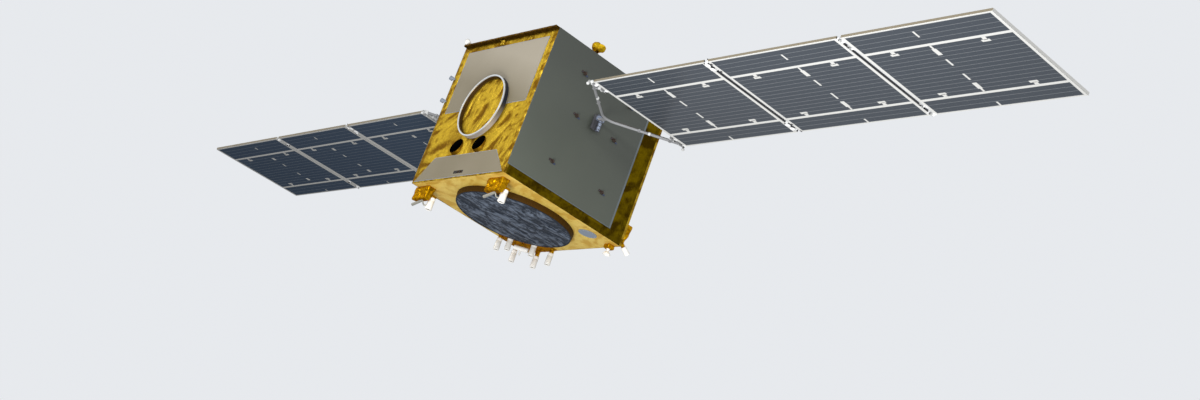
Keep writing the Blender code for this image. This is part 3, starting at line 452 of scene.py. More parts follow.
for word, border in (("upper", 0.006), ("lower", 0.005)):
    node = "front_%s_radiator" % word
    dress(node, RADIATOR_GREY)
    low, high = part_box(node)
    middle = (low + high) / 2
    shape = merged_copy(node)
    stretch = Vector((1 + 2 * border / (high.x - low.x), 0.8, 1 + 2 * border / (high.z - low.z)))
    about = Matrix.Translation(-Vector((middle.x, high.y, middle.z)))
    bmesh.ops.scale(shape, vec=stretch, space=about, verts=shape.verts)
    finished("front_%s_radiator_tape" % word, shape, EDGE_TAPE, "bus")
slot_z = deck_z + 0.059
plate_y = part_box("front_lower_radiator")[0].y
shape = bmesh.new()
block(shape, (-0.069, plate_y + 0.0010, slot_z - 0.0105), (0.069, -half_depth, slot_z + 0.0105))
for x in (-0.075, 0.070):
    block(shape, (x, plate_y - 0.0008, slot_z - 0.014), (x + 0.005, plate_y + 0.0005, slot_z + 0.014))
for z in (-0.015, 0.011):
    block(shape, (-0.075, plate_y - 0.0008, slot_z + z), (0.075, plate_y + 0.0005, slot_z + z + 0.004))
block(shape, (-0.068, plate_y - 0.0012, slot_z - 0.012), (-0.026, plate_y + 0.0005, slot_z + 0.010))
finished("front_slot_frame", shape, SLOT_DARK, "bus")
shape = bmesh.new()
for x in (-0.012, 0.030):
    block(shape, (x, plate_y - 0.0004, slot_z - 0.009), (x + 0.020, plate_y + 0.0008, slot_z + 0.009), 0.0005, 1)
finished("front_slot_plugs", shape, SHADED_FASCIA_FILM, "bus")

# Port ring and its cover
# A turned aluminium ring stands out from the front face round the payload's port. A gold blanket
# closes the wall inside it.
RING_RIM = paint("ring_bare_metal", (206, 210, 214), 0.32, 0.5)
# The ring's outer wall is paler low down as a painted reflection and nearly black higher up as painted shade.
RING_WALL_LIGHT_AND_SHADE = height_graded("ring_outer_painted_light_and_shade", (170, 162, 152), (22, 28, 42), 0.66, 0.92, 0.35)
# The ring's inner wall takes a dark brown-gold: painted shade tinted by a painted reflection of gold.
RING_INSIDE_SHADE = paint("ring_inner_painted_shade", (66, 46, 14), 0.5, 0.4)
low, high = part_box("payload_port_ring")
port = Vector(((low.x + high.x) / 2, high.y, (low.z + high.z) / 2))
port_radius = (high.x - low.x) / 2
port_depth = high.y - low.y
inner = port_radius - 0.016
port_place = Matrix.Translation(port) @ FACING_FRONT
shape = bmesh.new()
round_part(shape, ((port_radius, port_depth - 0.003), (port_radius, port_depth - 0.012),
                   (port_radius - 0.003, port_depth - 0.012), (inner + 0.003, port_depth - 0.010),
                   (inner, port_depth - 0.010), (inner, port_depth - 0.003),
                   (inner + 0.003, port_depth), (port_radius - 0.003, port_depth)), port_place, 96)
rim = finished("payload_port_rim", shape, RING_RIM, "bus")
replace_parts(rim, "payload_port_ring")
shape = bmesh.new()
round_part(shape, ((port_radius, 0.004), (port_radius, 0.0), (port_radius - 0.010, 0.0),
                   (port_radius - 0.010, port_depth - 0.012), (port_radius - 0.004, port_depth - 0.012),
                   (port_radius - 0.004, 0.006)), port_place, 96)
finished("payload_port_wall", shape, RING_WALL_LIGHT_AND_SHADE, "bus")
shape = bmesh.new()
round_part(shape, ((port_radius - 0.0105, port_depth - 0.012), (port_radius - 0.0105, 0.0),
                   (inner, 0.0), (inner, port_depth - 0.0105)), port_place, 96)
finished("payload_port_lining", shape, RING_INSIDE_SHADE, "bus")


def film_disc(name, node, finish, radius, place, cells, lie, seed, level, loft, streak=None):
    """Loose film in a round opening, down to the plane that the opening starts from."""
    shape = bmesh.new()
    bmesh.ops.create_grid(shape, x_segments=cells, y_segments=cells, size=radius)
    stray = [face for face in shape.faces if face.calc_center_median().length > radius + 0.004]
    bmesh.ops.delete(shape, geom=stray, context="FACES")
    fold = shape.verts.layers.float.new("fold")
    for corner in shape.verts:
        reach = corner.co.length
        if reach > radius - 0.003:
            corner.co *= (radius - 0.0005) / reach
        rise, crease_shade = film_fold(corner.co.x, corner.co.y, math.radians(lie), seed)
        if streak:
            rise, crease_shade = streak(corner.co.x, corner.co.y)
        slack = max(0.0, min(1.0, (radius - reach) / 0.05))
        corner.co.z = level + loft * rise * math.sqrt(slack)
        corner[fold] = crease_shade
    border = [edge for edge in shape.edges if edge.is_boundary]
    turned = bmesh.ops.extrude_edge_only(shape, edges=border)["geom"]
    for part in turned:
        if isinstance(part, bmesh.types.BMVert):
            part.co.z = 0.0
    bmesh.ops.edgeloop_fill(shape, edges=[edge for edge in shape.edges if edge.is_boundary])
    bmesh.ops.transform(shape, matrix=place, verts=shape.verts)
    bmesh.ops.recalc_face_normals(shape, faces=shape.faces)
    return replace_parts(finished(name, shape, finish, "bus"), node)


film_disc("payload_port_blanket", "payload_port_cover", FRONT_FILM, inner, port_place, 70, 66, 45.0,
          0.012, 0.008)

# Side radiators and the feet of the folded arrays
# A grey-painted plate covers most of each side. Six machined feet stand on it, with cups that
# take the cones of the folded panels, and a strip of tape seals the plate's free edges.
# The side plates take a darker copy of the radiator grey as painted shade; it grows paler towards the bottom.
SHADED_SIDE_GREY = height_graded("side_radiator_grey_painted_shade", (86, 91, 81), (68, 72, 66), 0.2, 1.9, 0.5)
SIDE_TAPE = paint("side_tape", (98, 106, 110), 0.45, 0.1)
FOOT_DARK = paint("foot_dark", (62, 48, 40), 0.5, 0.3)
FOOT_METAL_AND_HIGHLIGHT = paint("foot_metal_and_highlight", (62, 72, 96), 0.4, 0.3)
FOOT_PLACES = ((-0.318, 1.270), (0.290, 1.255), (-0.240, 0.862), (0.250, 0.866), (-0.315, 0.340),
               (0.322, 0.350))
plate_outer = half_width + 0.0083
plate_rear = 0.558
plate_foot = deck_z + 0.090
for word, side in (("right", 1), ("left", -1)):
    shape = bmesh.new()
    block(shape, (side * (half_width + 0.0003), -half_depth, plate_foot),
          (side * plate_outer, plate_rear, top_z), 0.002)
    plate = finished(word + "_radiator_plate", shape, SHADED_SIDE_GREY, "bus")
    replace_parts(plate, word + "_radiator")
    shape = bmesh.new()
    tape_outer = side * (plate_outer + 0.0006)
    tape_inner = side * (plate_outer - 0.0010)
    block(shape, (tape_inner, plate_rear - 0.020, plate_foot + 0.001),
          (tape_outer, plate_rear - 0.001, top_z - 0.001))
    block(shape, (tape_inner, -half_depth + 0.001, plate_foot + 0.001),
          (tape_outer, plate_rear - 0.022, plate_foot + 0.007))
    finished(word + "_radiator_tape", shape, SIDE_TAPE, "bus")
    dark = bmesh.new()
    fittings_and_highlight = bmesh.new()
    facing = Matrix.Rotation(math.radians(90 * side), 4, "Y")
    for along, height in FOOT_PLACES:
        x = side * plate_outer
        z = deck_z + height
        block(dark, (x, along - 0.040, z - 0.004), (x + side * 0.004, along + 0.018, z + 0.018), 0.0012)
        block(dark, (x + side * 0.003, along - 0.016, z - 0.017), (x + side * 0.009, along + 0.016, z + 0.015),
              0.002)
        cup = Matrix.Translation((x + side * 0.008, along, z)) @ facing
        round_part(dark, ((0.018, 0.0), (0.017, 0.009), (0.013, 0.009), (0.009, 0.002), (0.0, 0.002),
                          (0.0, 0.0)), cup, 24)
        # The flat bluish block beside each cup is a painted highlight streak; the screws are the fittings' own metal.
        block(fittings_and_highlight, (x, along + 0.006, z - 0.018), (x + side * 0.006, along + 0.044, z - 0.004), 0.001)
        for reach in (-0.033, 0.036):
            screw = Matrix.Translation((x + side * 0.005, along + reach, z - 0.011 + 0.016 * (reach < 0)))
            bmesh.ops.create_cone(fittings_and_highlight, cap_ends=True, segments=6, radius1=0.004, radius2=0.004,
                                  depth=0.005, matrix=screw @ facing)
    finished(word + "_array_feet", dark, FOOT_DARK, "bus")
    finished(word + "_array_feet_fittings_and_highlight", fittings_and_highlight, FOOT_METAL_AND_HIGHLIGHT, "bus")

# Separation ring and the blanket that closes it
# A ring under the bottom deck, once clamped to the launcher, whose dark bronze is painted shade.
# A slate-coloured blanket is laced over its mouth and sags into long streaky folds.
RING_SHADE_BRONZE = paint("ring_painted_shade_bronze", (64, 42, 2), 0.6)
RING_SHADE_BRONZE.node_tree.nodes["Principled BSDF"].inputs["Specular IOR Level"].default_value = 0.1
SLATE_FILM = film("slate_film", (116, 128, 146), (30, 39, 52), 30.0, 0.2, 0.35)
LID_BLUE = paint("lid_pale_blue", (138, 150, 166), 0.4, 0.3)
dress("separation_ring", RING_SHADE_BRONZE)


def slate_streak(across, up):
    """Loose folds that run roughly fore and aft, with painted shade in their hollows and painted highlights on the
    short ridges that break them up.
    """
    sway = noise.noise_vector(Vector((across * 5.0, up * 4.0, 7.0))) * 0.07
    across += sway.x
    up += sway.y
    broad = noise.noise(Vector((across * 7.0, up * 3.0, 41.0)))
    narrow = noise.noise(Vector((across * 22.0, up * 8.0, 43.0)))
    fine = noise.noise(Vector((across * 52.0, up * 24.0, 47.0)))
    rise = 0.5 + 0.6 * broad + 0.5 * narrow
    return max(0.0, min(1.0, rise)), max(0.0, min(1.0, 0.26 + 0.5 * broad + 0.9 * narrow + 0.8 * fine))


facing_down = Matrix.Translation((0, 0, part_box("aft_closeout")[1].z)) @ Matrix.Rotation(math.pi, 4, "X")
ring_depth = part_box("aft_closeout")[1].z
film_disc("ring_blanket", "aft_closeout", SLATE_FILM, 0.5695, facing_down, 150, 0, 83.0,
          ring_depth - 0.001, 0.008, slate_streak)
shape = bmesh.new()
foot_radius = 0.582
round_part(shape, ((foot_radius - 0.013, 0.0005), (foot_radius - 0.002, 0.0005), (foot_radius - 0.001, -0.0015),
                   (foot_radius - 0.004, -0.0030), (foot_radius - 0.013, -0.0035)), Matrix.Identity(4), 96)
finished("ring_blanket_hem", shape, SLATE_FILM, "bus")
dress("test_port_lid", LID_BLUE)
shape = bmesh.new()
for number in range(10):
    turn = math.radians(36 * number)
    spot = Vector((lid.x + 0.080 * math.cos(turn), lid.y + 0.080 * math.sin(turn), lid_low.z - 0.001))
    bmesh.ops.create_cone(shape, cap_ends=True, segments=6, radius1=0.004, radius2=0.004, depth=0.003,
                          matrix=Matrix.Translation(spot))
finished("test_port_lid_screws", shape, RING_RIM, "bus")

# Wrapped thruster brackets and the wrapped knob
# Machined brackets at the lower corners carry the thrusters. Each is bagged in its own orange-gold
# film, tied close round its shape, and so is the knob on the top deck.
WRAP_FILM = film("wrap_orange_film", (204, 152, 12), (118, 76, 2), 12.0, 0.9, 0.2)


def wrapped(node, finish, mesh_size=0.005, loft=0.002, fineness=20.0, seed=1.0, bag=0.012):
    """Film drawn round one of the frame's solids, with folds and creases."""
    piece = finished(node + "_wrap", merged_copy(node), finish, "bus")
    remesh = piece.modifiers.new("wrap", "REMESH")
    remesh.mode = "VOXEL"
    remesh.voxel_size = mesh_size
    settled(piece)
    shape = bmesh.new()
    shape.from_mesh(piece.data)
    for _ in range(8):
        bmesh.ops.smooth_vert(shape, verts=shape.verts, factor=0.5, use_axis_x=True, use_axis_y=True,
                              use_axis_z=True)
    crumple(shape, bag, 9.0, seed + 5.0)
    crumple(shape, loft, fineness, seed)
    shape.to_mesh(piece.data)
    shape.free()
    piece.data.materials.clear()
    piece.data.materials.append(finish)
    piece.data.shade_smooth()
    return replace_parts(piece, node)


for number, node in enumerate(("thruster_bracket_front_left", "thruster_bracket_front_right",
                               "thruster_bracket_rear_left", "thruster_bracket_rear_right",
                               "thruster_foot_rear_right")):
    wrapped(node, WRAP_FILM, seed=number * 3.0, bag=0.004 if number == 2 else 0.008)
KNOB_FILM = film("knob_gold_film", (222, 184, 36), (132, 98, 6), 14.0, 0.85, 0.2)
low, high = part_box("top_antenna")
shape = bmesh.new()
knob_radius = (high.x - low.x) / 2
middle = Vector(((low.x + high.x) / 2, (low.y + high.y) / 2, high.z - knob_radius))
fold = shape.verts.layers.float.new("fold")
for shift, share in (((-0.010, -0.004, -0.004), 1.06), ((0.040, 0.014, -0.014), 0.82)):
    centre = middle + Vector(shift)
    lump = bmesh.ops.create_icosphere(shape, subdivisions=1, radius=knob_radius * share,
                                      matrix=Matrix.Translation(centre))["verts"]
    for corner in lump:
        dent = noise.noise(corner.co * 31.0)
        # Dented places are darkened as painted shade.
        corner[fold] = 0.6 + dent
        corner.co += (corner.co - centre) * 0.16 * dent
knob = finished("top_antenna_wrap", shape, KNOB_FILM, "bus", crisp=8.0)
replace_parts(knob, "top_antenna")
shape = bmesh.new()
stem = Matrix.Translation((middle.x, middle.y, top_z))
round_part(shape, ((0.0, 0.001), (0.030, 0.001), (0.030, 0.006), (0.021, 0.008), (0.018, 0.050), (0.0, 0.050)),
           stem, 20)
finished("top_antenna_stem", shape, SHADED_FASCIA_FILM, "bus")

# Thrusters
# Small thrusters with a valve body and a short bell, in white-coated metal. The bells end in a
# rolled lip, and thin pipes feed them from under their brackets.
THRUSTER_WHITE = paint("thruster_white", (250, 248, 243), 0.45)
THRUSTER_BORE = paint("thruster_bore", (150, 146, 138), 0.55)
PIPE_GREY = paint("pipe_grey", (160, 158, 148), 0.4, 0.4)
SENSOR_GREY = paint("sensor_grey", (128, 138, 152), 0.4)
UPRIGHT_THRUSTERS = ["thruster_front_left", "thruster_front_right"]
UPRIGHT_THRUSTERS += ["thruster_rear_left_%d" % number for number in range(1, 7)]
for node in UPRIGHT_THRUSTERS:
    low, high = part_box(node)
    middle = (low + high) / 2
    length = high.z - low.z
    radius = (high.x - low.x) / 2
    body = radius * 0.94
    place = Matrix.Translation((middle.x, middle.y, high.z))
    shape = bmesh.new()
    round_part(shape, ((0.0, 0.0), (body * 0.90, 0.0), (body, -0.004), (body, -0.20 * length),
                       (body * 0.95, -0.22 * length), (body * 0.95, -0.25 * length), (body, -0.27 * length),
                       (body, -0.60 * length), (radius, -0.80 * length), (radius, -0.94 * length),
                       (radius * 0.94, -0.985 * length), (radius * 0.84, -length),
                       (radius * 0.74, -0.985 * length), (radius * 0.62, -0.93 * length)), place, 32)
    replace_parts(finished(node + "_bell", shape, THRUSTER_WHITE, "bus"), node)
    shape = bmesh.new()
    round_part(shape, ((0.0, -0.92 * length), (radius * 0.66, -0.925 * length), (radius * 0.66, -0.95 * length),
                       (radius * 0.30, -0.955 * length), (0.0, -0.945 * length)), place, 32)
    finished(node + "_bore", shape, THRUSTER_BORE, "bus")
low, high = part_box("thruster_rear_right_1")
middle = (low + high) / 2
length = high.z - low.z
radius = (high.x - low.x) / 2
place = Matrix.Translation((middle.x, middle.y, high.z))
shape = bmesh.new()
round_part(shape, ((0.0, 0.0), (0.018, 0.0), (0.018, -0.006), (0.013, -0.010), (0.013, -0.42 * length),
                   (radius * 0.70, -0.62 * length), (radius * 0.97, -0.86 * length), (radius, -0.96 * length),
                   (radius * 0.94, -length), (radius * 0.86, -0.96 * length), (radius * 0.60, -0.74 * length),
                   (0.0, -0.66 * length)), place, 32)
cup = finished("thruster_rear_right_1_bell", shape, THRUSTER_WHITE, "bus")
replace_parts(cup, "thruster_rear_right_1")
dress("thruster_rear_left_7", THRUSTER_WHITE)
dress("thruster_rear_right_2", THRUSTER_WHITE)
for word in ("left", "right"):
    dress("side_thruster_front_" + word, PIPE_GREY)
for node, finish, stretch in (("top_sun_sensor", THRUSTER_WHITE, 1.25), ("upper_sun_sensor", SENSOR_GREY, 1.15),
                              ("lower_sun_sensor", SENSOR_GREY, 1.15)):
    low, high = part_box(node)
    shape = merged_copy(node)
    centre = Matrix.Translation(-(low + high) / 2)
    bmesh.ops.scale(shape, vec=(stretch, stretch, 1.15), space=centre, verts=shape.verts)
    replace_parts(finished(node + "_housing", shape, finish, "bus"), node)


def pipe(shape, route, radius, sides=8):
    """Adds a thin pipe along a route of points, with rounded bends, to a shape."""
    route = [Vector(point) for point in route]
    smooth = []
    for first, second, third in zip(route[:-2], route[1:-1], route[2:]):
        start = (first + second) / 2 if smooth or first is not route[0] else first
        finish_point = (second + third) / 2 if third is not route[-1] else third
        for step in range(6):
            share = step / 6
            smooth.append(start.lerp(second, share).lerp(second.lerp(finish_point, share), share))
    smooth.append(route[-1])
    rings = []
    for number, point in enumerate(smooth):
        ahead = smooth[min(number + 1, len(smooth) - 1)] - smooth[max(number - 1, 0)]
        turn = ahead.to_track_quat("Z", "Y").to_matrix()
        ring = []
        for side_number in range(sides):
            angle = 2 * math.pi * side_number / sides
            ring.append(shape.verts.new(point + turn @ Vector((radius * math.cos(angle),
                                                              radius * math.sin(angle), 0))))
        rings.append(ring)
    for ring, following in zip(rings, rings[1:]):
        for side_number in range(sides):
            after = (side_number + 1) % sides
            shape.faces.new((ring[side_number], ring[after], following[after], following[side_number]))
    shape.faces.new(list(reversed(rings[0])))
    shape.faces.new(rings[-1])
    bmesh.ops.recalc_face_normals(shape, faces=shape.faces)


shape = bmesh.new()
for word in ("left", "right"):
    low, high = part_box("side_thruster_front_" + word)
    bell_low, bell_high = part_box("thruster_front_" + word)
    bell_x = (bell_low.x + bell_high.x) / 2
    bell_y = (bell_low.y + bell_high.y) / 2
    start_z = high.z - 0.012
    pipe(shape, ((high.x - 0.006, (low.y + high.y) / 2, start_z), (high.x + 0.012, (low.y + high.y) / 2, start_z),
                 (bell_x - 0.020, bell_y - 0.060, start_z - 0.028), (bell_x - 0.010, bell_y - 0.034, start_z - 0.030),
                 (bell_x, bell_y - 0.028, start_z - 0.020)), 0.007)
finished("front_feed_pipes", shape, PIPE_GREY, "bus")

# Array drives
# Each array turns on a flat drive on the side face. A dark bracket and a small motor turn with
# the hub in front of it, and two ears hold the yoke's hinge pin.
# The dark grey of the housing and bracket is painted shade; the motor bands take the same paint.
DRIVE_SHADE_DARK = paint("drive_dark_painted_shade", (74, 74, 78), 0.45, 0.3)
DRIVE_METAL = paint("drive_metal", (146, 156, 176), 0.35, 0.4)
for word, side in (("right", 1), ("left", -1)):
    for piece in ("housing", "bracket"):
        dress("%s_drive_%s" % (word, piece), DRIVE_SHADE_DARK)
    for piece in ("hub", "motor"):
        dress("%s_drive_%s" % (word, piece), DRIVE_METAL)
    low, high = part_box(word + "_drive_housing")
    axis_z = (low.z + high.z) / 2
    shape = bmesh.new()
    facing = Matrix.Rotation(math.radians(90), 4, "Y")
    for number in range(8):
        turn = math.radians(22.5 + 45 * number)
        x = side * (plate_outer + 0.0142)
        spot = Matrix.Translation((x, 0.049 * math.cos(turn), axis_z + 0.049 * math.sin(turn)))
        bmesh.ops.create_cone(shape, cap_ends=True, segments=6, radius1=0.0035, radius2=0.0035,
                              depth=0.003, matrix=spot @ facing)
    finished(word + "_drive_bolts", shape, DRIVE_METAL, "bus")
    low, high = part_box(word + "_drive_motor")
    middle = (low + high) / 2
    shape = bmesh.new()
    upright = Matrix.Translation((middle.x, middle.y, 0))
    for level in (0.012, 0.050, 0.086):
        round_part(shape, ((0.0183, high.z - level), (0.0183, high.z - level - 0.007),
                           (0.0170, high.z - level - 0.007), (0.0170, high.z - level)), upright, 24)
    block(shape, (middle.x - 0.009, middle.y - 0.009, low.z - 0.012), (middle.x + 0.009, middle.y + 0.009, low.z),
          0.002)
    finished(word + "_drive_motor_bands", shape, DRIVE_SHADE_DARK, word + "_drive")

# Yokes
# A bent tube of white-painted composite carries each array away from the body, with metal bosses
# where its bars meet and a cable tied along its front arm.
# The yoke's white paint is given as a mid grey: painted shade on the white tube.
SHADED_YOKE_WHITE = paint("yoke_white_painted_shade", (140, 141, 143), 0.45)
BOSS_WHITE = paint("boss_white", (214, 215, 214), 0.4)
CABLE_DARK = paint("cable_dark", (58, 52, 44), 0.6)
FOLD_X = 0.795
PANEL_HINGE_X = 1.3585
drive_z = (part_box("right_drive_hub")[0].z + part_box("right_drive_hub")[1].z) / 2
half_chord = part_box("right_panel_1")[1].y
hinge_spread = half_chord - 0.028
hinge_inner = half_chord - 0.148
for word, side in (("right", 1), ("left", -1)):
    dress(word + "_yoke", SHADED_YOKE_WHITE)
    shape = bmesh.new()
    bar_x = PANEL_HINGE_X - 0.0245
    for y in (-hinge_spread, -hinge_inner, hinge_inner, hinge_spread):
        place = Matrix.Translation((side * bar_x, y, drive_z))
        round_part(shape, ((0.0, -0.0165), (0.014, -0.0165), (0.0175, -0.013), (0.0175, 0.013),
                           (0.014, 0.0165), (0.0, 0.0165)), place, 24)
    for end in (-1, 1):
        knobs = ((bar_x + 0.010, half_chord - 0.010, 0.0, 0.018), (bar_x, half_chord + 0.021, -0.030, 0.015),
                 (bar_x, hinge_spread - 0.085, -0.002, 0.018))
        for x, y, drop, radius in knobs:
            bmesh.ops.create_icosphere(shape, subdivisions=3, radius=radius,
                                       matrix=Matrix.Translation((side * x, end * y, drive_z + drop)))
        block(shape, (side * (bar_x - 0.006), end * (hinge_spread + 0.010), drive_z - 0.010),
              (side * (bar_x + 0.006), end * (half_chord + 0.024), drive_z + 0.004), 0.002)
        block(shape, (side * (bar_x - 0.006), end * (half_chord + 0.008), drive_z - 0.034),
              (side * (bar_x + 0.006), end * (half_chord + 0.024), drive_z), 0.002)
        start = Vector((side * (FOLD_X + 0.075), end * 0.020, drive_z))
        stop = Vector((side * bar_x, end * hinge_spread, drive_z))
        turn = (stop - start).to_track_quat("Z", "Y").to_matrix().to_4x4()
        round_part(shape, ((0.0, -0.012), (0.013, -0.012), (0.0152, -0.009), (0.0152, 0.009), (0.013, 0.012),
                           (0.0, 0.012)), Matrix.Translation(start.lerp(stop, 0.58)) @ turn, 20)
    finished(word + "_yoke_bosses", shape, BOSS_WHITE, word + "_yoke")
    shape = bmesh.new()
    end = Vector((side * (PANEL_HINGE_X - 0.030), hinge_spread, drive_z + 0.014))
    apex = Vector((side * (FOLD_X + 0.075), 0.020, drive_z + 0.013))
    stops = [apex.lerp(end, share) for share in (0.0, 0.25, 0.5, 0.75, 1.0)]
    for stop, sag in zip(stops, (0.0, 0.001, -0.001, 0.001, 0.0)):
        stop.z += sag
    pipe(shape, stops, 0.0035)
    finished(word + "_yoke_cable", shape, CABLE_DARK, word + "_yoke")

# Solar panels
# Three sandwich boards to a side. Cells in long rows cover the lower face between strips of white
# tape, with pads at the hold-down points. Hinges with pins join the boards at their ends.
BOARD_BACK = paint("board_back", (40, 42, 48), 0.45)
EDGE_TAN = paint("edge_tan", (122, 112, 90), 0.5)
HINGE_METAL = paint("hinge_metal", (250, 251, 251), 0.4)
# The two wings take lit and shaded copies of the same paints: the right wing's greyer cells and paler rows and lines
# are painted glare, and the left wing's bluer cells and darker rows and lines are painted shade.
WING_GLARE_AND_SHADE_PAINTS = {
    "right": (paint("cell_slate_blue_painted_glare", (69, 75, 83), 0.2), paint("row_grey_painted_glare", (122, 126, 131), 0.5),
              paint("line_white_painted_glare", (222, 222, 219), 0.5), 0.12, 1.0),
    "left": (paint("cell_deep_blue_painted_shade", (66, 78, 94), 0.3), paint("row_blue_grey_painted_shade", (84, 95, 110), 0.5),
             paint("line_grey_painted_shade", (182, 182, 179), 0.5), 0.0, 0.55),
}
for cells, _, _, gloss, _ in WING_GLARE_AND_SHADE_PAINTS.values():
    cells.node_tree.nodes["Principled BSDF"].inputs["Specular IOR Level"].default_value = gloss
HARNESS = paint("harness_amber", (120, 84, 30), 0.4)
PANEL_LENGTH = 1.455
PITCH = 1.5
HALF_GAP = 0.0225
HALF_BOARD = 0.012
WHITE_ROWS = (-0.332, 0.385)
MARKS = ((-0.226, 0.088, 0.044), (0.280, 0.088, 0.044), (-0.072, 0.090, 0.020), (0.143, 0.090, 0.020),
         (-0.483, 0.080, 0.018), (0.560, 0.060, 0.018))
STEMS = ((-0.320, -0.262), (0.318, 0.374))
STRIPS = ((-0.584, -0.346, 4), (-0.318, 0.371, 13), (0.399, 0.584, 3))
COLUMNS = 18
for word, side in (("right", 1), ("left", -1)):
    cell_paint, row_paint, line_paint, _, mark_share = WING_GLARE_AND_SHADE_PAINTS[word]
    for number in (1, 2, 3):
        node = "%s_panel_%d" % (word, number)
        root = PANEL_HINGE_X + HALF_GAP + PITCH * (number - 1)
        tip = root + PANEL_LENGTH
        under = drive_z - HALF_BOARD
        over = drive_z + HALF_BOARD
        edge = half_chord
        shape = bmesh.new()
        block(shape, (side * root, -edge, under + 0.0005), (side * tip, edge, over), 0.0015)
        board = finished(node + "_board", shape, BOARD_BACK, node)
        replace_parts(board, node)
        shape = bmesh.new()
        block(shape, (side * (root + 0.002), -edge + 0.002, under), (side * (tip - 0.002), edge - 0.002, under + 0.001))
        finished(node + "_face", shape, row_paint, node)
        shape = bmesh.new()
        for y in (-edge, edge):
            block(shape, (side * root, y - 0.0006, under + 0.001), (side * tip, y + 0.0006, over + 0.0003))
        finished(node + "_edge_tape", shape, EDGE_TAN, node)
        shape = bmesh.new()
        for first, last, rows in STRIPS:
            pitch = (last - first) / rows
            for row in range(rows):
                step = (tip - root - 0.060) / COLUMNS
                for column in range(COLUMNS):
                    x = root + 0.030 + step * column
                    y = first + pitch * row
                    block(shape, (side * (x + 0.0008), y + 0.0028, under - 0.0006),
                          (side * (x + step - 0.0008), y + pitch - 0.0028, under))
        finished(node + "_cells", shape, cell_paint, node)
        shape = bmesh.new()
        line_low = under - 0.0012
        for y in (-edge + 0.007, edge - 0.007):
            block(shape, (side * root, y - 0.0071, line_low), (side * tip, y + 0.0071, under + 0.002))
        for x in (root + 0.015, tip - 0.015):
            block(shape, (side * (x - 0.0152), -edge + 0.014, line_low), (side * (x + 0.0152), edge - 0.014, under + 0.002))
        block(shape, (side * (root - 0.0008), -edge, line_low), (side * (root + 0.002), edge, over))
        if number == 3:
            block(shape, (side * (tip - 0.003), -edge, line_low), (side * (tip + 0.001), edge, over))
        for y in WHITE_ROWS:
            block(shape, (side * (root + 0.030), y - 0.014, line_low), (side * (tip - 0.030), y + 0.014, under))
            inward = 1 if y < 0 else -1
            for share in (0.20, 0.80):
                x = root + share * PANEL_LENGTH
                block(shape, (side * (x - 0.024), y + inward * 0.013, line_low),
                      (side * (x + 0.014), y + inward * 0.052, under))
                block(shape, (side * (x - 0.048), y + inward * 0.046, line_low),
                      (side * (x + 0.030), y + inward * 0.074, under))
        share = 0.545 if number == 2 else 0.455
        x = root + share * PANEL_LENGTH
        for y, long_side, short_side in MARKS:
            long_side *= mark_share
            block(shape, (side * (x - short_side / 2), y - long_side / 2, line_low - 0.001),
                  (side * (x + short_side / 2), y + long_side / 2, under), 0.0005, 1)
        for first, last in STEMS if side > 0 else ():
            block(shape, (side * (x - 0.010), first, line_low), (side * (x + 0.010), last, under))
        finished(node + "_lines", shape, line_paint, node)
        shape = bmesh.new()
        for y in (-0.50, -0.17, 0.16, 0.50):
            block(shape, (side * (root + 0.03), y - 0.010, over - 0.0005), (side * (tip - 0.03), y + 0.010, over + 0.0015),
                  0.0005, 1)
        block(shape, (side * (root + 0.03), -0.50, over - 0.0005), (side * (root + 0.05), 0.50, over + 0.0020), 0.0005, 1)
        finished(node + "_harness", shape, HARNESS, node)
        shape = bmesh.new()
        for end, x_edge, near in (("root", root, False), ("tip", tip, True)):
            if end == "tip" and number == 3:
                continue
            line = number if end == "root" else number + 1
            axis_z = drive_z - 0.020 if line % 2 else drive_z + 0.020
            axis_x = PANEL_HINGE_X + PITCH * (line - 1)
            for y in (-hinge_spread, -hinge_inner, hinge_inner, hinge_spread):
                first = y + 0.006 - 0.024 if near else y + 0.006
                last = first + 0.0235
                inward = 0.016 if end == "root" else -0.016
                lug = bmesh.new()
                block(lug, (side * x_edge, first, drive_z - 0.0135), (side * (x_edge + inward), last, drive_z + 0.0135))
                pin = Matrix.Translation((side * axis_x, (first + last) / 2, axis_z)) @ FACING_FRONT
                bmesh.ops.create_cone(lug, cap_ends=True, segments=20, radius1=0.0075, radius2=0.0075,
                                      depth=last - first, matrix=pin)
                bmesh.ops.convex_hull(lug, input=lug.verts)
                spare = [corner for corner in lug.verts if not corner.link_faces]
                bmesh.ops.delete(lug, geom=spare, context="VERTS")
                bmesh.ops.recalc_face_normals(lug, faces=lug.faces)
                part = bpy.data.meshes.new("lug")
                lug.to_mesh(part)
                lug.free()
                shape.from_mesh(part)
                bpy.data.meshes.remove(part)
        if number == 1:
            for y in (-0.545, -0.478, 0.478, 0.545):
                dome = Matrix.Translation((side * (tip - 0.006), y, under)) @ Matrix.Diagonal((1, 1, 0.26, 1))
                bmesh.ops.create_icosphere(shape, subdivisions=3, radius=0.027, matrix=dome)
        finished(node + "_hinges", shape, HINGE_METAL, node)

# Stage
# A pale floor far below, which is clear from underneath, with plain soft light from all round, a
# high sun to the front left and a soft lamp low at the front left that draws the creases out.
FLOOR_LEVEL = -5.43
CAMERA_PLACE = Vector((13.80865, -8.73341, -5.29921))
CAMERA_AIM = Vector((-0.7739069, 0.5378933, 0.3342738))
CAMERA_ROLL = 20.10
floor_paint = paint("floor_pale", (225, 225, 225), 0.8)
tree = floor_paint.node_tree
side_of_face = tree.nodes.new("ShaderNodeNewGeometry")
clear = tree.nodes.new("ShaderNodeBsdfTransparent")
choice = tree.nodes.new("ShaderNodeMixShader")
tree.links.new(side_of_face.outputs["Backfacing"], choice.inputs["Fac"])
tree.links.new(tree.nodes["Principled BSDF"].outputs["BSDF"], choice.inputs[1])
tree.links.new(clear.outputs["BSDF"], choice.inputs[2])
tree.links.new(choice.outputs["Shader"], tree.nodes["Material Output"].inputs["Surface"])
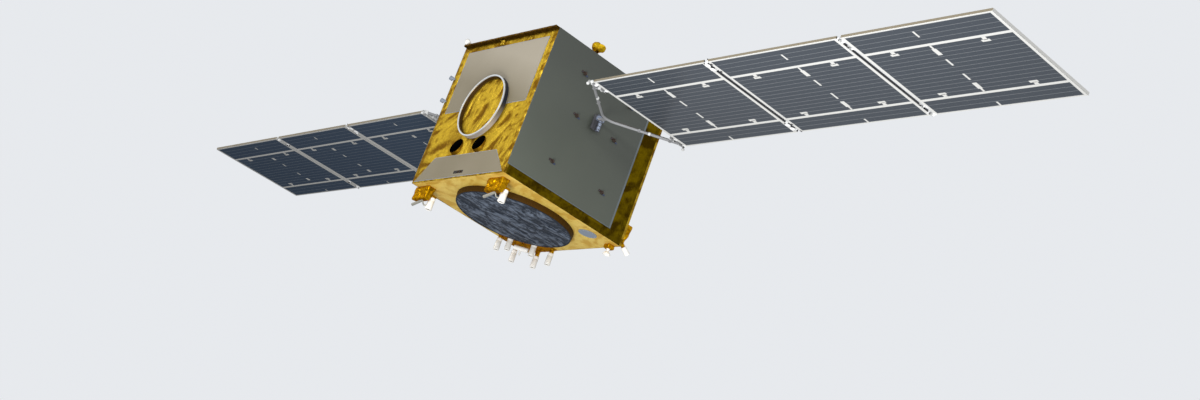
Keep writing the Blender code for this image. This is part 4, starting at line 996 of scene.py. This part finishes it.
shape = bmesh.new()
bmesh.ops.create_grid(shape, x_segments=1, y_segments=1, size=200.0,
                      matrix=Matrix.Translation((0, 0, FLOOR_LEVEL)))
mesh = bpy.data.meshes.new("floor")
shape.to_mesh(mesh)
shape.free()
mesh.materials.append(floor_paint)
floor = bpy.data.objects.new("floor", mesh)
bpy.context.scene.collection.objects.link(floor)

world = bpy.data.worlds.new("studio")
bpy.context.scene.world = world
world.use_nodes = True
tree = world.node_tree
light = tree.nodes["Background"]
light.inputs["Color"].default_value = (1.0, 1.0, 1.0, 1.0)
light.inputs["Strength"].default_value = 0.42
backdrop = tree.nodes.new("ShaderNodeBackground")
backdrop.inputs["Color"].default_value = (0.80, 0.82, 0.85, 1.0)
backdrop.inputs["Strength"].default_value = 1.0
path = tree.nodes.new("ShaderNodeLightPath")
seen = tree.nodes.new("ShaderNodeMath")
seen.operation = "MAXIMUM"
seen_through = tree.nodes.new("ShaderNodeMath")
seen_through.operation = "MAXIMUM"
choice = tree.nodes.new("ShaderNodeMixShader")
tree.links.new(path.outputs["Is Camera Ray"], seen.inputs[0])
tree.links.new(path.outputs["Is Glossy Ray"], seen.inputs[1])
tree.links.new(seen.outputs["Value"], seen_through.inputs[0])
tree.links.new(path.outputs["Is Transmission Ray"], seen_through.inputs[1])
tree.links.new(seen_through.outputs["Value"], choice.inputs["Fac"])
tree.links.new(light.outputs["Background"], choice.inputs[1])
tree.links.new(backdrop.outputs["Background"], choice.inputs[2])
tree.links.new(choice.outputs["Shader"], tree.nodes["World Output"].inputs["Surface"])


def lamp_stand(name, lamp, place, target):
    """Puts a lamp in the scene, turned to the point that it lights."""
    stand = bpy.data.objects.new(name, lamp)
    stand.location = place
    stand.rotation_euler = (Vector(place) - Vector(target)).to_track_quat("Z", "Y").to_euler()
    bpy.context.scene.collection.objects.link(stand)
    return stand


for name, place, energy in (("key_sun", (-5.0, -9.0, 4.0), 0.9), ("side_sun", (8.0, -7.0, 1.5), 1.1)):
    lamp = bpy.data.lights.new(name, "SUN")
    lamp.energy = energy
    lamp.angle = math.radians(12)
    lamp_stand(name, lamp, place, (0, 0, 0))
lamp = bpy.data.lights.new("low_lamp", "AREA")
lamp.energy = 600.0
lamp.shape = "SQUARE"
lamp.size = 3.5
low_lamp = lamp_stand("low_lamp", lamp, (4.4, -4.0, -4.6), (4.4, -4.0, 1.0))
low_lamp.visible_camera = False

camera = bpy.data.cameras.new("camera")
camera.lens = 54.146
camera.sensor_width = 36.0
camera.clip_end = 1000.0
tripod = bpy.data.objects.new("camera", camera)
tripod.matrix_world = (Matrix.Translation(CAMERA_PLACE) @ CAMERA_AIM.to_track_quat("-Z", "Y").to_matrix().to_4x4()
                       @ Matrix.Rotation(math.radians(CAMERA_ROLL), 4, "Z"))
bpy.context.scene.collection.objects.link(tripod)
bpy.context.scene.camera = tripod
bpy.context.scene.view_settings.view_transform = "Standard"
